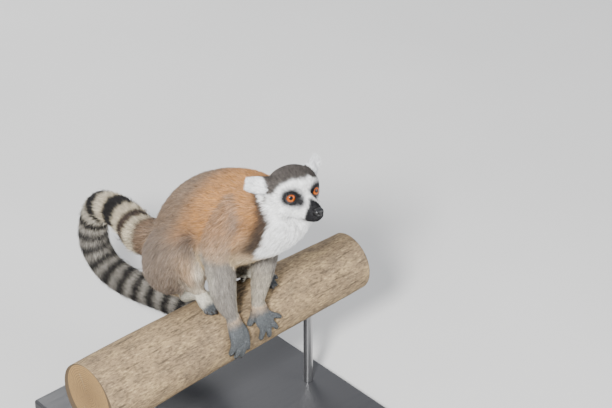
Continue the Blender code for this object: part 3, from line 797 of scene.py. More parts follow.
def lid_opening(turn):
    """The half angle of the opening between the lids, with turn measured from the nose side."""
    across, upright = np.cos(turn), np.sin(turn)
    nose_corner = 0.16 * np.exp(-(((turn + 0.25 + np.pi) % (2 * np.pi) - np.pi) / 0.35) ** 2)
    outer_corner = 0.05 * np.exp(-(((turn - 0.1) % (2 * np.pi) - np.pi) / 0.4) ** 2)
    upper = np.where(upright > 0, 0.56, 0.61)
    return 1 / np.sqrt((across / 0.71) ** 2 + (upright / upper) ** 2) + nose_corner + outer_corner


# The line between the lips: place forward of the eyes, and height.
LIP_LINE = np.array(
    ((-0.4, -2.70), (0.4, -2.63), (1.2, -2.55), (1.9, -2.45), (2.4, -2.36), (3.4, -2.1)),
)


def with_face(points, normals):
    """Shapes the head: sockets round the eyeballs, the mouth's line, and the nose's seat."""
    forward, left, up = head_places(points)
    for sign in (-1, 1):
        centre, gaze, nose_ward, upward = eye_frame(sign)
        off = points - centre
        reach = np.linalg.norm(off, axis=1)
        turn = np.arctan2(off @ upward, off @ nose_ward)
        angle = np.arccos(np.clip(off @ gaze / reach, -1, 1))
        ratio = angle / lid_opening(turn)
        within = 1 - smoothstep(ratio, 0.96, 1.06)
        ring = smoothstep(ratio, 0.96, 1.06) * (1 - smoothstep(ratio, 1.3, 2.0))
        front = ((off @ gaze) > -0.1) * (reach < 1.6)
        lid = EYE_RADIUS + 0.035
        new = reach + front * within * (0.84 * EYE_RADIUS - reach)
        new = new + front * ring * 0.9 * (np.maximum(lid, np.minimum(reach, lid + 0.06)) - reach)
        points = centre + off * (new / reach)[:, None]
    on_head = (forward > -0.6) & (up > THROAT)
    line = np.interp(forward, LIP_LINE[:, 0], LIP_LINE[:, 1])
    groove = np.exp(-(((up - line) / 0.07) ** 2)) * smoothstep(forward, 0.8, 1.4) * on_head
    lip = np.exp(-(((up - line - 0.16) / 0.12) ** 2)) * smoothstep(forward, 0.4, 1.4) * on_head
    cleft = np.exp(-((left / 0.05) ** 2)) * smoothstep(forward, 2.4, 2.7) * (up < -1.7) * on_head
    seat = np.exp(-(((forward - 3.15) / 0.45) ** 2 + (left / 0.55) ** 2 + ((up + 1.47) / 0.42) ** 2))
    push = -0.09 * groove + 0.035 * lip - 0.05 * cleft - 0.10 * seat * on_head
    return points + normals * push[:, None]


points, normals = to_cm(read_points(skin.data)), read_points(skin.data, normals=True)
points = with_face(points, normals)
write_points(skin.data, to_world(points))
skin.data.shade_smooth()

# Each pale ring of the tail: its place along the tail and its half width.
WHITE_RINGS = np.array(
    (
        (5.0, 0.7), (9.0, 1.2), (14.7, 1.15), (19.0, 0.8), (21.7, 0.5),
        (23.7, 0.42), (25.7, 0.45), (27.8, 0.42), (30.0, 0.45), (32.2, 0.42),
        (34.4, 0.45), (36.8, 0.5), (39.2, 0.5), (41.7, 0.5), (44.2, 0.45),
    )
)
TAIL_AT = STATIONS[is_of(STATIONS[:, CHART], "tail")]
# Where the white of the chest ends: height, and how far back (y).
BIB_EDGE = np.array(
    (
        (9.0, -4.6), (11.5, -5.6), (14.0, -7.25), (17.1, -9.3), (19.3, -10.1),
        (20.4, -10.45), (21.5, -9.95), (22.2, -8.8), (22.6, -7.3), (24.5, -6.5),
    )
)
# Where the dark cap begins: place across the head, and height.
CAP_EDGE = np.array(
    (
        (-3.6, 0.1), (-3.18, 0.35), (-2.96, 0.85), (-2.29, 1.6), (-1.74, 1.88),
        (-1.16, 2.02), (-0.46, 1.95), (0.1, 1.9), (0.77, 2.05), (1.22, 1.8),
        (1.52, 1.6), (2.3, 1.4), (3.0, 0.6),
    )
)
# Where the black of the snout begins, and where the white cheek ends: height, and place
# forward of the eyes.
SNOUT_EDGE = np.array(
    (
        (-2.9, 1.1), (-2.3, 1.3), (-1.9, 1.55), (-1.3, 1.9),
        (-0.9, 1.98), (-0.5, 1.75), (-0.16, 1.6), (0.2, 1.6),
    )
)
CHEEK_EDGE = np.array(((-4.3, -2.94), (-3.25, -2.3), (-2.06, -2.46), (-1.08, -3.39), (-0.3, -4.9)))

WHITE_HAIR = rgb(240, 239, 236)


def blend(share, first, second):
    """Colours moved by a share of the way from the first, one for each point, to the second."""
    return first + np.asarray(share)[:, None] * (np.asarray(second)[:3] - first)


def tail_length_at(points):
    """How far along the tail's middle line each point lies."""
    gap = ((points[:, None].astype(np.float32) - TAIL_AT[None, :, :3]) ** 2).sum(-1)
    near = gap.argmin(1)
    along = ((points - TAIL_AT[near, :3]) * TAIL_AT[near, TANGENT]).sum(1)
    return TAIL_AT[near, ALONG] + along


def painted(points, red, green, blue):
    """One colour, repeated for each of the points."""
    return np.tile(np.array(rgb(red, green, blue)[:3]), (len(points), 1))


# Soft patches, the same on both sides: place on the left, size, colour, and how strong each
# is on the right and on the left. They are the elbow's pale edge, a painted highlight on the
# forearm's lit outer side; a painted warm highlight low on the shin; the knee's pale edge; the
# pale ankle; painted shade in the knee's fold between thigh and belly; and the shoulder's grey mark.
PATCHES = (
    # Painted highlight: the forearm's outer side, where the light falls, made pale.
    ((4.6, -2.1, 9.2), (0.7, 0.8, 2.4), rgb(205, 198, 180), (0.55, 0.5)),
    # Painted highlight: a warm pool of light low on the shin.
    ((5.4, 1.0, 9.3), (1.6, 1.5, 2.6), rgb(176, 146, 112), (0.7, 0.7)),
    ((4.6, -0.1, 8.6), (0.9, 0.7, 3.0), rgb(208, 200, 182), (0.7, 0.7)),
    ((4.0, 1.4, 6.2), (1.7, 2.0, 0.9), rgb(190, 180, 158), (0.6, 0.6)),
    # Painted shade: the knee's fold between thigh and belly, made dark.
    ((5.5, 0.6, 14.0), (1.3, 1.3, 1.7), rgb(70, 60, 53), (0.85, 0.85)),
    ((4.3, -6.2, 19.0), (0.8, 0.9, 1.5), rgb(103, 95, 89), (0.45, 0.45)),
)


def body_tint(points, owner, soft):
    """Fawn above, greyer behind with painted shade on the rump, grey limbs, pale below, white before a dark
    band, and some patches of painted highlight and shade.
    """
    x, y, z = points.T
    chart = chart_of(owner)
    colour = painted(points, 163, 116, 68)
    # The rump's own grey, made darker still as painted shade.
    rump = smoothstep(y + 0.3 * z, 5.0, 9.5) * 0.85
    colour = blend(rump, colour, rgb(107, 95, 83))
    flank = smoothstep(-(z + 0.55 * y), -15.5, -9.5)
    colour = blend(flank * 0.85, colour, rgb(194, 168, 136))
    colour = blend(0.10 * (1 + ripple(points, 2.2, 13)), colour, rgb(103, 82, 63))
    on_arm = is_of(chart, "arm")
    arm = on_arm * (0.35 + 0.65 * smoothstep(-z + soft, -13.2, -11.4))
    leg = is_of(chart, "thigh", "shin") * 0.9 * smoothstep(-z - 0.4 * y, -16.5, -13.0)
    colour = blend(leg, colour, rgb(112, 99, 88))
    colour = blend(arm, colour, rgb(124, 118, 110))
    inner = (np.abs(x) < 2.6) * smoothstep(-z, -11, -7) * (arm + leg > 0)
    colour = blend(inner * 0.5, colour, rgb(168, 158, 137))
    # Three of these patches are painted light and shade: the forearm's and shin's highlights and the knee's
    # fold.
    for (across, back, height), size, shade, strength in PATCHES:
        for sign, much in zip((-1, 1), strength):
            off = points - np.array((sign * across, back, height))
            q = ((off / np.array(size)) ** 2).sum(1)
            colour = blend(much * np.exp(-q), colour, shade)
    edge = np.interp(z, BIB_EDGE[:, 0], BIB_EDGE[:, 1])
    body = ~is_of(chart, "tail", "ear")
    on_neck = body & (y < -3.0) & (z > 12.5)
    band = smoothstep(y, edge - 0.3, edge + 0.35) * (1 - smoothstep(y, edge + 1.0 + soft, edge + 2.9))
    band = band * smoothstep(z, 13.0, 15.5) * on_neck
    colour = blend(0.92 * band, colour, rgb(42, 36, 32))
    bib = 1 - smoothstep(y + 0.8 * soft, edge - 0.1, edge + 0.45)
    colour = blend(bib * (body & (z > np.where(on_arm, 15.5, 8.5))), colour, WHITE_HAIR)
    radial = points - STATIONS[owner, :3]
    under = smoothstep(-(radial[:, 2] * 0.8 + radial[:, 1] * 0.6), 1.2, 3.2)
    belly = is_of(chart, "trunk") * under * smoothstep(-z, -15, -12)
    return blend(belly, colour, rgb(178, 158, 126))


def paw_tint(points, chart, soft, colour):
    """Slate on the hands and toes, whiter on the instep, out of the limbs' own colours."""
    _, y, z = points.T
    wrist = smoothstep(-(z + 0.3 * y) + 0.6 * soft, -3.4, -1.2)
    hand = np.where(is_of(chart, "hand"), np.maximum(0.12, wrist), 0.0)
    colour = blend(hand, colour, rgb(92, 96, 98))
    foot = is_of(chart, "foot").astype(float)
    colour = blend(foot, colour, rgb(83, 86, 88))
    instep = foot * smoothstep(y + 0.3 * soft, -1.35, -0.75)
    return blend(0.95 * instep, colour, rgb(203, 197, 180))


def tail_tint(points, colour):
    """Black and pale rings by the length along the tail, out of the rump's own colour; the pale rings turn
    grey further along, as painted shade on the tail's lower loop.
    """
    length = tail_length_at(points)
    fuzz = 0.14 * ripple(points, 0.5, 14) + 0.10 * ripple(points, 0.2, 15)
    off = np.abs(length[:, None] - WHITE_RINGS[:, 0]) + fuzz[:, None]
    white = (1 - smoothstep(off - WHITE_RINGS[:, 1], -0.18, 0.24)).max(1)
    black = painted(points, 20, 17, 16)
    black = blend(0.8 * (1 - smoothstep(length, 5.5, 9.5)), black, rgb(62, 48, 39))
    black = blend(1 - smoothstep(length, 3.0, 4.6), black, rgb(104, 84, 66))
    pale = painted(points, 172, 160, 136)
    # Painted shade: the pale rings darken towards grey along the tail's lower loop, which lies in shade.
    pale = blend(smoothstep(length, 13.0, 19.5), pale, rgb(156, 149, 134))
    pale = blend(smoothstep(length, 19.5, 22.5), pale, rgb(128, 123, 114))
    ringed = black + white[:, None] * (pale - black)
    root = (1 - smoothstep(length + fuzz, 1.2, 3.2))[:, None]
    return ringed * (1 - root) + root * colour


def head_tint(points, soft):
    """White, with a grey cap and nape, a black snout and mouth, and a black patch at each eye."""
    forward, left, up = head_places(points)
    head = painted(points, 240, 239, 236)
    border = np.interp(left, CAP_EDGE[:, 0], CAP_EDGE[:, 1])
    cap = smoothstep(up + 0.35 * soft, border - 0.25, border + 0.15)
    behind = smoothstep(-forward + 0.3 * soft, 1.15, 1.75) * smoothstep(up + 0.25 * forward, -0.55, 0.15)
    point = smoothstep(-forward, 1.0, 1.5) * smoothstep(up, 0.25, 0.75) * (np.abs(left) > 1.8)
    nape = smoothstep(-forward, 2.6, 3.6) * smoothstep(up, -1.6, -0.6)
    cap = np.maximum.reduce([cap, behind, point, nape])
    capped = painted(points, 75, 69, 65)
    capped = blend(0.5 + 0.5 * ripple(points, 0.35, 16), capped, rgb(57, 53, 49))
    capped = blend(nape * smoothstep(-forward, 3.0, 4.4), capped, rgb(106, 87, 67))
    head = head + cap[:, None] * (capped - head)
    snout = np.interp(up, SNOUT_EDGE[:, 0], SNOUT_EDGE[:, 1])
    ridge = 0.2 * np.exp(-((left / 0.4) ** 2))
    muzzle = smoothstep(forward + ridge + 0.4 * soft, snout - 0.2, snout + 0.16)
    chin = smoothstep(-up, 2.62, 2.78) * smoothstep(forward, 0.5, 1.0)
    muzzle = muzzle * (1 - 0.85 * chin)
    line = np.interp(forward, LIP_LINE[:, 0], LIP_LINE[:, 1])
    mouth = np.exp(-(((up - line) / 0.13) ** 2)) * smoothstep(forward, 0.45, 0.9) * (up > THROAT)
    corner = ((forward - 0.95) / 0.6) ** 2 + ((np.abs(left) - 0.9) / 0.5) ** 2 + ((up + 2.55) / 0.26) ** 2
    muzzle = np.maximum(muzzle, 0.9 * np.maximum(mouth, np.exp(-corner)))
    dark = painted(points, 15, 14, 16)
    dark = blend(0.35 + 0.35 * ripple(points, 0.3, 17), dark, rgb(27, 26, 29))
    head = head + muzzle[:, None] * (dark - head)
    for sign in (-1, 1):
        centre, gaze, nose_ward, upward = eye_frame(sign)
        off = points - centre
        side, rise = off @ nose_ward, off @ upward
        wide = np.where(side > 0.06, 1.34, 1.16)
        q = np.hypot((side - 0.06) / wide, (rise + 0.12 * side + 0.02) / 1.07)
        before = (off @ gaze) > -0.6
        halo = (1 - smoothstep(q + 0.4 * soft, 0.9, 1.55)) * before
        patch = (1 - smoothstep(q + 0.45 * soft, 0.74, 1.06)) * before
        head = blend(0.6 * halo, head, rgb(92, 92, 96))
        head = blend(patch, head, rgb(20, 18, 21))
    return head


def ear_tint(points):
    """Off-white, with the cap's grey on the front of the right ear's root."""
    _, left, up = head_places(points)
    front = smoothstep(-np.abs(left), -3.5, -3.15) * (np.abs(left) < 3.4) * (up > 0.9) * (left < 0)
    return blend(front, painted(points, 226, 227, 227), rgb(75, 69, 65))


def markings(points, owner):
    """The coat's colour at each point, by the length of body that it belongs to."""
    chart = chart_of(owner)
    soft = 0.16 * ripple(points, 1.1, 11) + 0.08 * ripple(points, 0.45, 12)
    colour = paw_tint(points, chart, soft, body_tint(points, owner, soft))
    tail = is_of(chart, "tail")
    colour[tail] = tail_tint(points[tail], colour[tail])
    forward, _, up = head_places(points)
    face = (forward > -3.6) & (up > -2.2 + 0.5 * (forward + 3)) & is_of(chart, "trunk")
    face |= is_of(chart, "head")
    face &= (up > -0.1) | (forward + 0.8 * soft > np.interp(up, CHEEK_EDGE[:, 0], CHEEK_EDGE[:, 1]))
    colour = np.where(face[:, None], head_tint(points, soft), colour)
    return np.where(is_of(chart, "ear")[:, None], ear_tint(points), colour)


def set_tint(mesh, colour):
    """Stores a colour at each point for the material to read."""
    layer = mesh.color_attributes.new("tint", "FLOAT_COLOR", "POINT")
    opaque = np.hstack([colour, np.ones((len(colour), 1))])
    layer.data.foreach_set("color", opaque.astype(np.float32).ravel())


bare = Finish("skin_and_down", Roughness=0.62, Specular_IOR_Level=0.3)
tint = bare.node("Attribute", {"attribute_name": "tint"})
mottle = bare.noise(900.0, 4.0)
pores = bare.noise(2600.0, 3.0)
bare.feed(Roughness=pores * 0.2 + 0.4)
scales = bare.node("TexVoronoi", {"feature": "DISTANCE_TO_EDGE"}, Vector=bare.places((1, 1, 1)), Scale=420.0)
wrinkles = (scales * 5.0).clamped()
down = bare.mix(((mottle - 0.35) * 2.0).clamped() * 0.4, tint, rgb(47, 45, 42))
# Painted shade: the lines of the wrinkles are darkened in colour, as shade in the creases.
bare.feed(Base_Color=bare.mix((1.0 - wrinkles) * 0.55, down, rgb(30, 30, 31)))
bare.bump(wrinkles + mottle * 0.6 + pores * 0.3, 0.9, 0.0012)

points, normals = to_cm(read_points(skin.data)), read_points(skin.data, normals=True)
heading, depth, length, spread, density, owner = coat_here(points, normals)
paws = is_of(chart_of(owner), "hand", "foot")
skin_tint = markings(points, owner) * np.where(paws, 0.95, 0.62)[:, None]
for sign in (-1, 1):
    centre, gaze = eye_frame(sign)[:2]
    off = points - centre
    rim = np.exp(-((np.linalg.norm(off, axis=1) / 1.05) ** 6)) * ((off @ gaze) > 0)
    skin_tint = blend(rim, skin_tint, rgb(18, 17, 18))
set_tint(skin.data, skin_tint)
skin.data.materials.clear()
skin.data.materials.append(bare.material)
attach(skin, "root")
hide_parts(*[node for node in FLESH if not node.startswith("eye")])

# --- The eyes: moist balls with a raised clear front over an orange iris, yellower below and
# ringed with red-brown, and a small round pupil. Black lids of bare skin fit round each.


def eye_rings(centre, axes, angle, turn, reach):
    """Points at an angle from the first axis and a turn about it, at a reach from the centre."""
    ahead, aside, above = axes
    out = np.sin(angle) * reach
    return (
        centre
        + (np.cos(angle) * reach + 0 * turn)[..., None] * ahead
        + (out * np.cos(turn))[..., None] * aside
        + (out * np.sin(turn))[..., None] * above
    )


def eyeball(sign, rows=96, around=96):
    """Rings from the front pole to the back one: a ball whose front swells by a bell curve."""
    centre, gaze, nose_ward, upward = eye_frame(sign)
    gaze = 0.66 * gaze + 0.34 * (0.804 * FORWARD - 0.504 * LEFT + 0.314 * UP)
    gaze /= np.linalg.norm(gaze)
    nose_ward = nose_ward - gaze * (gaze @ nose_ward)
    nose_ward /= np.linalg.norm(nose_ward)
    upward = np.cross(nose_ward, gaze) * np.sign(np.cross(nose_ward, gaze) @ UP)
    share = np.linspace(0, 1, rows)[:, None]
    angle = np.pi * share**1.6
    turn = np.linspace(0, 2 * np.pi, around, endpoint=False)[None]
    reach = EYE_RADIUS + 0.035 * np.exp(-((angle / 0.62) ** 4))
    points = eye_rings(centre, (gaze, nose_ward, upward), angle, turn, reach)
    return points, angle + 0 * turn, turn + 0 * angle


def iris_tint(angle, turn):
    """Pupil, streaked iris, dark rim and brown white of the eye, by angle from the gaze."""
    draw = np.random.default_rng(21)
    streak = sum(np.sin(turn * k + draw.uniform(0, 6.28)) for k in (17, 23, 31, 47, 61)) / 5
    reach = np.sin(np.minimum(angle, np.pi / 2))
    flat, turns, streaks = reach.ravel(), turn.ravel(), streak.ravel()
    colour = painted(flat, 140, 60, 0)
    lower = smoothstep(-np.sin(turns), -0.1, 0.9) * smoothstep(flat, 0.2, 0.4)
    colour = blend(0.5 * lower, colour, rgb(160, 88, 0))
    colour = blend(0.35 * np.clip(streaks, 0, 1), colour, rgb(112, 44, 0))
    colour = blend(0.30 * np.clip(-streaks, 0, 1), colour, rgb(182, 104, 0))
    colour = blend(smoothstep(flat, 0.46, 0.60) * 0.75, colour, rgb(116, 44, 0))
    colour = blend(1 - smoothstep(flat, 0.27, 0.33), colour, rgb(80, 30, 0))
    colour = blend(1 - smoothstep(flat, 0.235, 0.265), colour, rgb(8, 7, 8))
    return blend(smoothstep(flat, 0.60, 0.66), colour, rgb(22, 14, 11))


def lid_band(sign, rows=14, around=96):
    """Rings across a lid: up from the eyeball, over a rounded rim and down under the skin."""
    centre, *axes = eye_frame(sign)
    turn = np.linspace(0, 2 * np.pi, around, endpoint=False)[None]
    share = np.linspace(0, 1, rows)[:, None]
    angle = lid_opening(turn) - 0.07 + 0.52 * share
    bulge = np.sin(np.pi * np.clip(share * 1.25, 0, 1)) ** 0.7
    heavy = 1 + 0.5 * np.clip(np.sin(turn), 0, 1)
    reach = EYE_RADIUS - 0.05 * (1 - share) + 0.085 * bulge * heavy - 0.16 * smoothstep(share, 0.6, 1.0)
    return eye_rings(centre, axes, angle, turn, reach)


wet_eye = Finish("wet_eye", Roughness=0.3, Specular_IOR_Level=0.15, Coat_Weight=0.45, Coat_Roughness=0.02)
wet_eye.feed(Base_Color=wet_eye.node("Attribute", {"attribute_name": "tint"}))
lid_skin = Finish("lid_skin", Roughness=0.38, Specular_IOR_Level=0.5)
creases = lid_skin.noise(1400.0, 4.0)
lid_skin.feed(Base_Color=lid_skin.mix(creases, rgb(17, 16, 17), rgb(29, 27, 28)))
lid_skin.bump(creases, 0.5, 0.0003)
for side, sign in (("right", -1), ("left", 1)):
    ball, angle, turn = eyeball(sign)
    eye = add_rings(f"eyeball_{side}", ball, wet_eye)
    set_tint(eye.data, iris_tint(angle, turn))
    close_up(eye, 1e-8)
    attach(eye, "root")
    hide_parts(f"eye_{side}")
    lid = add_rings(f"eyelids_{side}", lid_band(sign), lid_skin)
    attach(lid, "root")

# --- The nose: a pad of moist black leather with two comma-shaped nostrils and a cleft.

# The pad's middle and half size along the head's axes, and the power n of its rounded box.
NOSE_MIDDLE = (2.72, 0.0, -1.47)
NOSE_SIZE = (0.52, 0.58, 0.47)
BOXINESS = 2.6


def nose_pad(rows=72, around=120):
    """Rings of a rounded box, |x|^n + |y|^n + |z|^n = 1, with nostrils and a cleft pressed in."""
    angle = np.linspace(0, np.pi, rows)[:, None]
    turn = np.linspace(0, 2 * np.pi, around, endpoint=False)[None]
    ball = np.stack(
        [np.cos(angle) + 0 * turn, np.sin(angle) * np.cos(turn), np.sin(angle) * np.sin(turn)],
        axis=-1,
    )
    ball /= (np.abs(ball) ** BOXINESS).sum(-1, keepdims=True) ** (1 / BOXINESS)
    forward, left, up = (ball * NOSE_SIZE).transpose(2, 0, 1)
    left = left * (1 + 0.16 * np.clip(up / 0.4, -1, 1))
    side = np.abs(left)
    hole = np.exp(-(((side - 0.27) / 0.10) ** 2 + ((up + 0.06) / 0.13) ** 2) ** 2)
    slit = np.exp(-(((side - 0.42) / 0.11) ** 2 + ((up + 0.14 + 0.3 * (side - 0.3)) / 0.05) ** 2))
    wing = np.exp(-(((side - 0.40) / 0.10) ** 2 + ((up - 0.05) / 0.16) ** 2))
    cleft = np.exp(-((left / 0.035) ** 2)) * smoothstep(-up, -0.05, 0.2)
    press = (forward > 0) * (0.20 * hole + 0.14 * slit - 0.04 * wing + 0.05 * cleft)
    shrink = 1 - press / np.sqrt(forward**2 + left**2 + up**2)
    places = np.stack([forward, left, up], axis=-1) * shrink[..., None] + NOSE_MIDDLE
    return EYES_MIDDLE + places @ np.stack([FORWARD, LEFT, UP])


leather = Finish("nose_leather", Roughness=0.33, Specular_IOR_Level=0.4, Coat_Weight=0.2, Coat_Roughness=0.15)
pebbles = leather.node("TexVoronoi", Vector=leather.places((1, 1, 1)), Scale=1700.0)
leather.feed(Base_Color=leather.mix(pebbles, rgb(9, 9, 10), rgb(18, 17, 18)))
leather.feed(Roughness=pebbles * 0.2 + 0.28)
leather.bump(pebbles, 0.5, 0.0003)
nose = add_rings("nose_pad", nose_pad(), leather)
close_up(nose)
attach(nose, "root")
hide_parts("nose")

# --- The nails: a flat dark plate on the end of each digit, arched across and grown from the
# skin, with the second toe's drawn out into the upright claw that the animal grooms with.

# The plates' thickness, in centimetres.
NAIL_THICKNESS = 0.035


def nail_plate(paw, number, rows=7, columns=9):
    """A patch arched across its width and bent down to its tip: front face, then back face."""
    (x0, a0), (x1, a1) = DIGITS[paw][number]
    claw = paw.startswith("foot") and number == 2
    tip = on_branch(x1, a1, 0.36)
    before = on_branch(x1 * 0.9 + x0 * 0.1, a1 * 0.9 + a0 * 0.1, 0.40)
    along = (tip - before) / np.linalg.norm(tip - before)
    out = on_branch(x1, a1, 1.36) - tip
    out = out - along * (out @ along)
    out /= np.linalg.norm(out)
    across = np.cross(along, out)
    v = np.linspace(0, 1, rows)[:, None]
    u = np.linspace(-1, 1, columns)[None]
    half, length = (0.10, 0.48) if claw else (0.21, 0.44)
    narrow = (1 - v) ** 0.6 if claw else 1 - 0.35 * smoothstep(v, 0.6, 1.0)
    rise = 0.30 + 0.06 * (1 - u**2) - (0.02 if claw else 0.20) * v**2
    sheets = []
    for lift in (0.0, -NAIL_THICKNESS):
        sheets.append(
            tip
            + (half * u * narrow)[..., None] * across
            + ((v - 0.35) * length + 0 * u)[..., None] * along
            + (rise + 0.10 * claw * v + lift)[..., None] * out
        )
    ring = np.concatenate([sheets[0], sheets[1][:, ::-1]], axis=1)
    first, last = (
        np.broadcast_to(edge.mean(1, keepdims=True), edge.shape) for edge in (ring[:1], ring[-1:])
    )
    return np.concatenate([first, ring, last])


horn = Finish("dark_horn", Roughness=0.35, Specular_IOR_Level=0.5)
ridges = horn.noise(900.0, 3.0)
horn.feed(Base_Color=horn.mix(ridges, rgb(30, 27, 27), rgb(54, 50, 46)))
horn.bump(ridges, 0.3, 0.0002)
plates = [nail_plate(paw, number) for paw in DIGITS for number in range(1, 6)]
rows, columns = plates[0].shape[:2]
corners = np.concatenate(
    [grid_corners(rows, columns, number * rows * columns) for number in range(len(plates))]
)
nails = add_piece(
    "nails",
    to_world(np.concatenate([plate.reshape(-1, 3) for plate in plates])),
    corners.ravel(),
    np.full(len(corners), 4),
    horn,
)
close_up(nails)
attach(nails, "root")

# --- The coat: soft tapered hairs in fine locks, planted all over the skin. Each lies along
# the body, with its tip in the outline of the animal, and joins its neighbours in a tuft.


def nearest_on(points, target):
    """The nearest places on a surface, all found at once by a Shrinkwrap modifier."""
    mesh = bpy.data.meshes.new("feelers")
    mesh.vertices.add(len(points))
    mesh.vertices.foreach_set("co", np.asarray(to_world(points), np.float32).ravel())
    obj = bpy.data.objects.new("feelers", mesh)
    bpy.context.scene.collection.objects.link(obj)
    wrap = obj.modifiers.new("wrap", "SHRINKWRAP")
    wrap.target = target
    wrap.wrap_method = "NEAREST_SURFACEPOINT"
    graph = bpy.context.evaluated_depsgraph_get()
    found = to_cm(read_points(obj.evaluated_get(graph).data))
    bpy.data.objects.remove(obj)
    return found


def skin_triangles():
    """The skin's triangles as point numbers, with their areas in square centimetres."""
    skin.data.calc_loop_triangles()
    flat = np.empty(len(skin.data.loop_triangles) * 3, np.int32)
    skin.data.loop_triangles.foreach_get("vertices", flat)
    triangles = flat.reshape(-1, 3)
    a, b, c = (points[triangles[:, k]] for k in range(3))
    return triangles, np.linalg.norm(np.cross(b - a, c - a), axis=1) / 2


def planted(chosen, triangles, area, thickness, draw):
    """Roots spread evenly over the chosen triangles: a triangle and two shares for each."""
    weight = np.where(chosen, area * density[triangles].mean(1) * thickness, 0.0)
    ladder = np.cumsum(weight)
    count = int(ladder[-1])
    at = (np.arange(count) + draw.random(count)) * ladder[-1] / count
    which = np.searchsorted(ladder, at).clip(0, len(triangles) - 1)
    s, t = draw.random(count), draw.random(count)
    over = s + t > 1
    s, t = np.where(over, 1 - s, s), np.where(over, 1 - t, t)
    return which, np.stack([1 - s - t, s, t], axis=1)


def gathered(tips, roots, size, pull, draw):
    """Draws tips towards the middle of the tips in their own cell of the skin."""
    turn = np.linalg.qr(draw.normal(size=(3, 3)))[0]
    bent = roots @ turn + 0.35 * size * np.stack([ripple(roots, size * 2.4, k) for k in (31, 32, 33)], 1)
    cells = np.floor(bent / size).astype(int)
    _, cell = np.unique(cells, axis=0, return_inverse=True)
    cell = cell.ravel()
    count = np.bincount(cell)
    middle = np.stack([np.bincount(cell, tips[:, k]) / count for k in range(3)], 1)[cell]
    return tips + pull[:, None] * (middle - tips)


def root_patch(roots, owner):
    """A place for each root on an unwrap of the skin: along its length of body, and round it."""
    station = STATIONS[owner]
    off = roots - station[:, :3]
    tangent = station[:, TANGENT]
    along = station[:, ALONG] + (off * tangent).sum(1)
    side = unit(np.cross(tangent, np.array((0.31, 0.9, 0.3))))
    lift = np.cross(side, tangent)
    around = np.arctan2((off * lift).sum(1), (off * side).sum(1)) / (2 * np.pi) + 0.5
    chart = chart_of(owner)
    named, row = np.unique(chart, return_inverse=True)
    low = np.array([along[chart == k].min() for k in named])[row]
    high = np.array([along[chart == k].max() for k in named])[row]
    u = 0.01 + 0.975 * (along - low) / (high - low + 1e-6)
    v = 0.01 + 0.975 * (row + np.clip(around, 0, 1)) / len(named)
    return u, v


def hair_tint(root, middle, tip, flow, lead, draw):
    """Colours for a hair's five points: painted shade at the root and a painted highlight at most tips, and
    each hair with its own tone.
    """
    count = len(root)
    astray = flow * draw.normal(0.0, 0.09, (count, 1))
    waist = markings(middle + astray, lead)
    end = markings(tip - flow * 0.1 + astray, lead)
    uneven = 1 + 0.09 * ripple(root, 1.3, 51) + 0.17 * ripple(root, 0.38, 52)
    tone = np.clip(draw.normal(1.0, 0.28, count), 0.3, 1.8)[:, None] * uneven[:, None]
    grey = waist.mean(1, keepdims=True)
    vivid = draw.uniform(0.8, 1.12, (count, 1))
    waist, end = (np.clip(grey + (hue - grey) * vivid, 0, 1) * tone for hue in (waist, end))
    # One tip in five is dark, as in grizzled fur; the rest are lightened as a painted highlight.
    end = end * np.where(draw.random(count) < 0.2, 0.5, 1.1)[:, None]
    # Painted shade: the root's two points darkened to 0.6 and the middle's to 0.95.
    steps = np.stack([waist * 0.6, waist * 0.6, waist * 0.95, waist * 0.95, end], 1)
    return np.clip(steps, 0, 0.93).reshape(-1, 3)


# A hair's faces: a strip from the root's two points to the middle's, then a pointed tip.
HAIR_CORNERS = np.array((0, 1, 3, 2, 2, 3, 4))
HAIR_SIZES = (4, 3)
# Each hair's patch of the map, as a share of the map's side.
PATCH_SIDE = 0.003
HAIR_PATCH = np.array(((0, 0), (1, 0), (1, 0.55), (0, 0.55), (0, 0.55), (1, 0.55), (0.5, 1))) * PATCH_SIDE

# How far a hair turns from the lie of the coat, in shared waves and by itself, and how deep
# its root is sunk in the skin, in centimetres.
SWIRL = 0.13
STRAY = 0.12
SUNK = 0.02


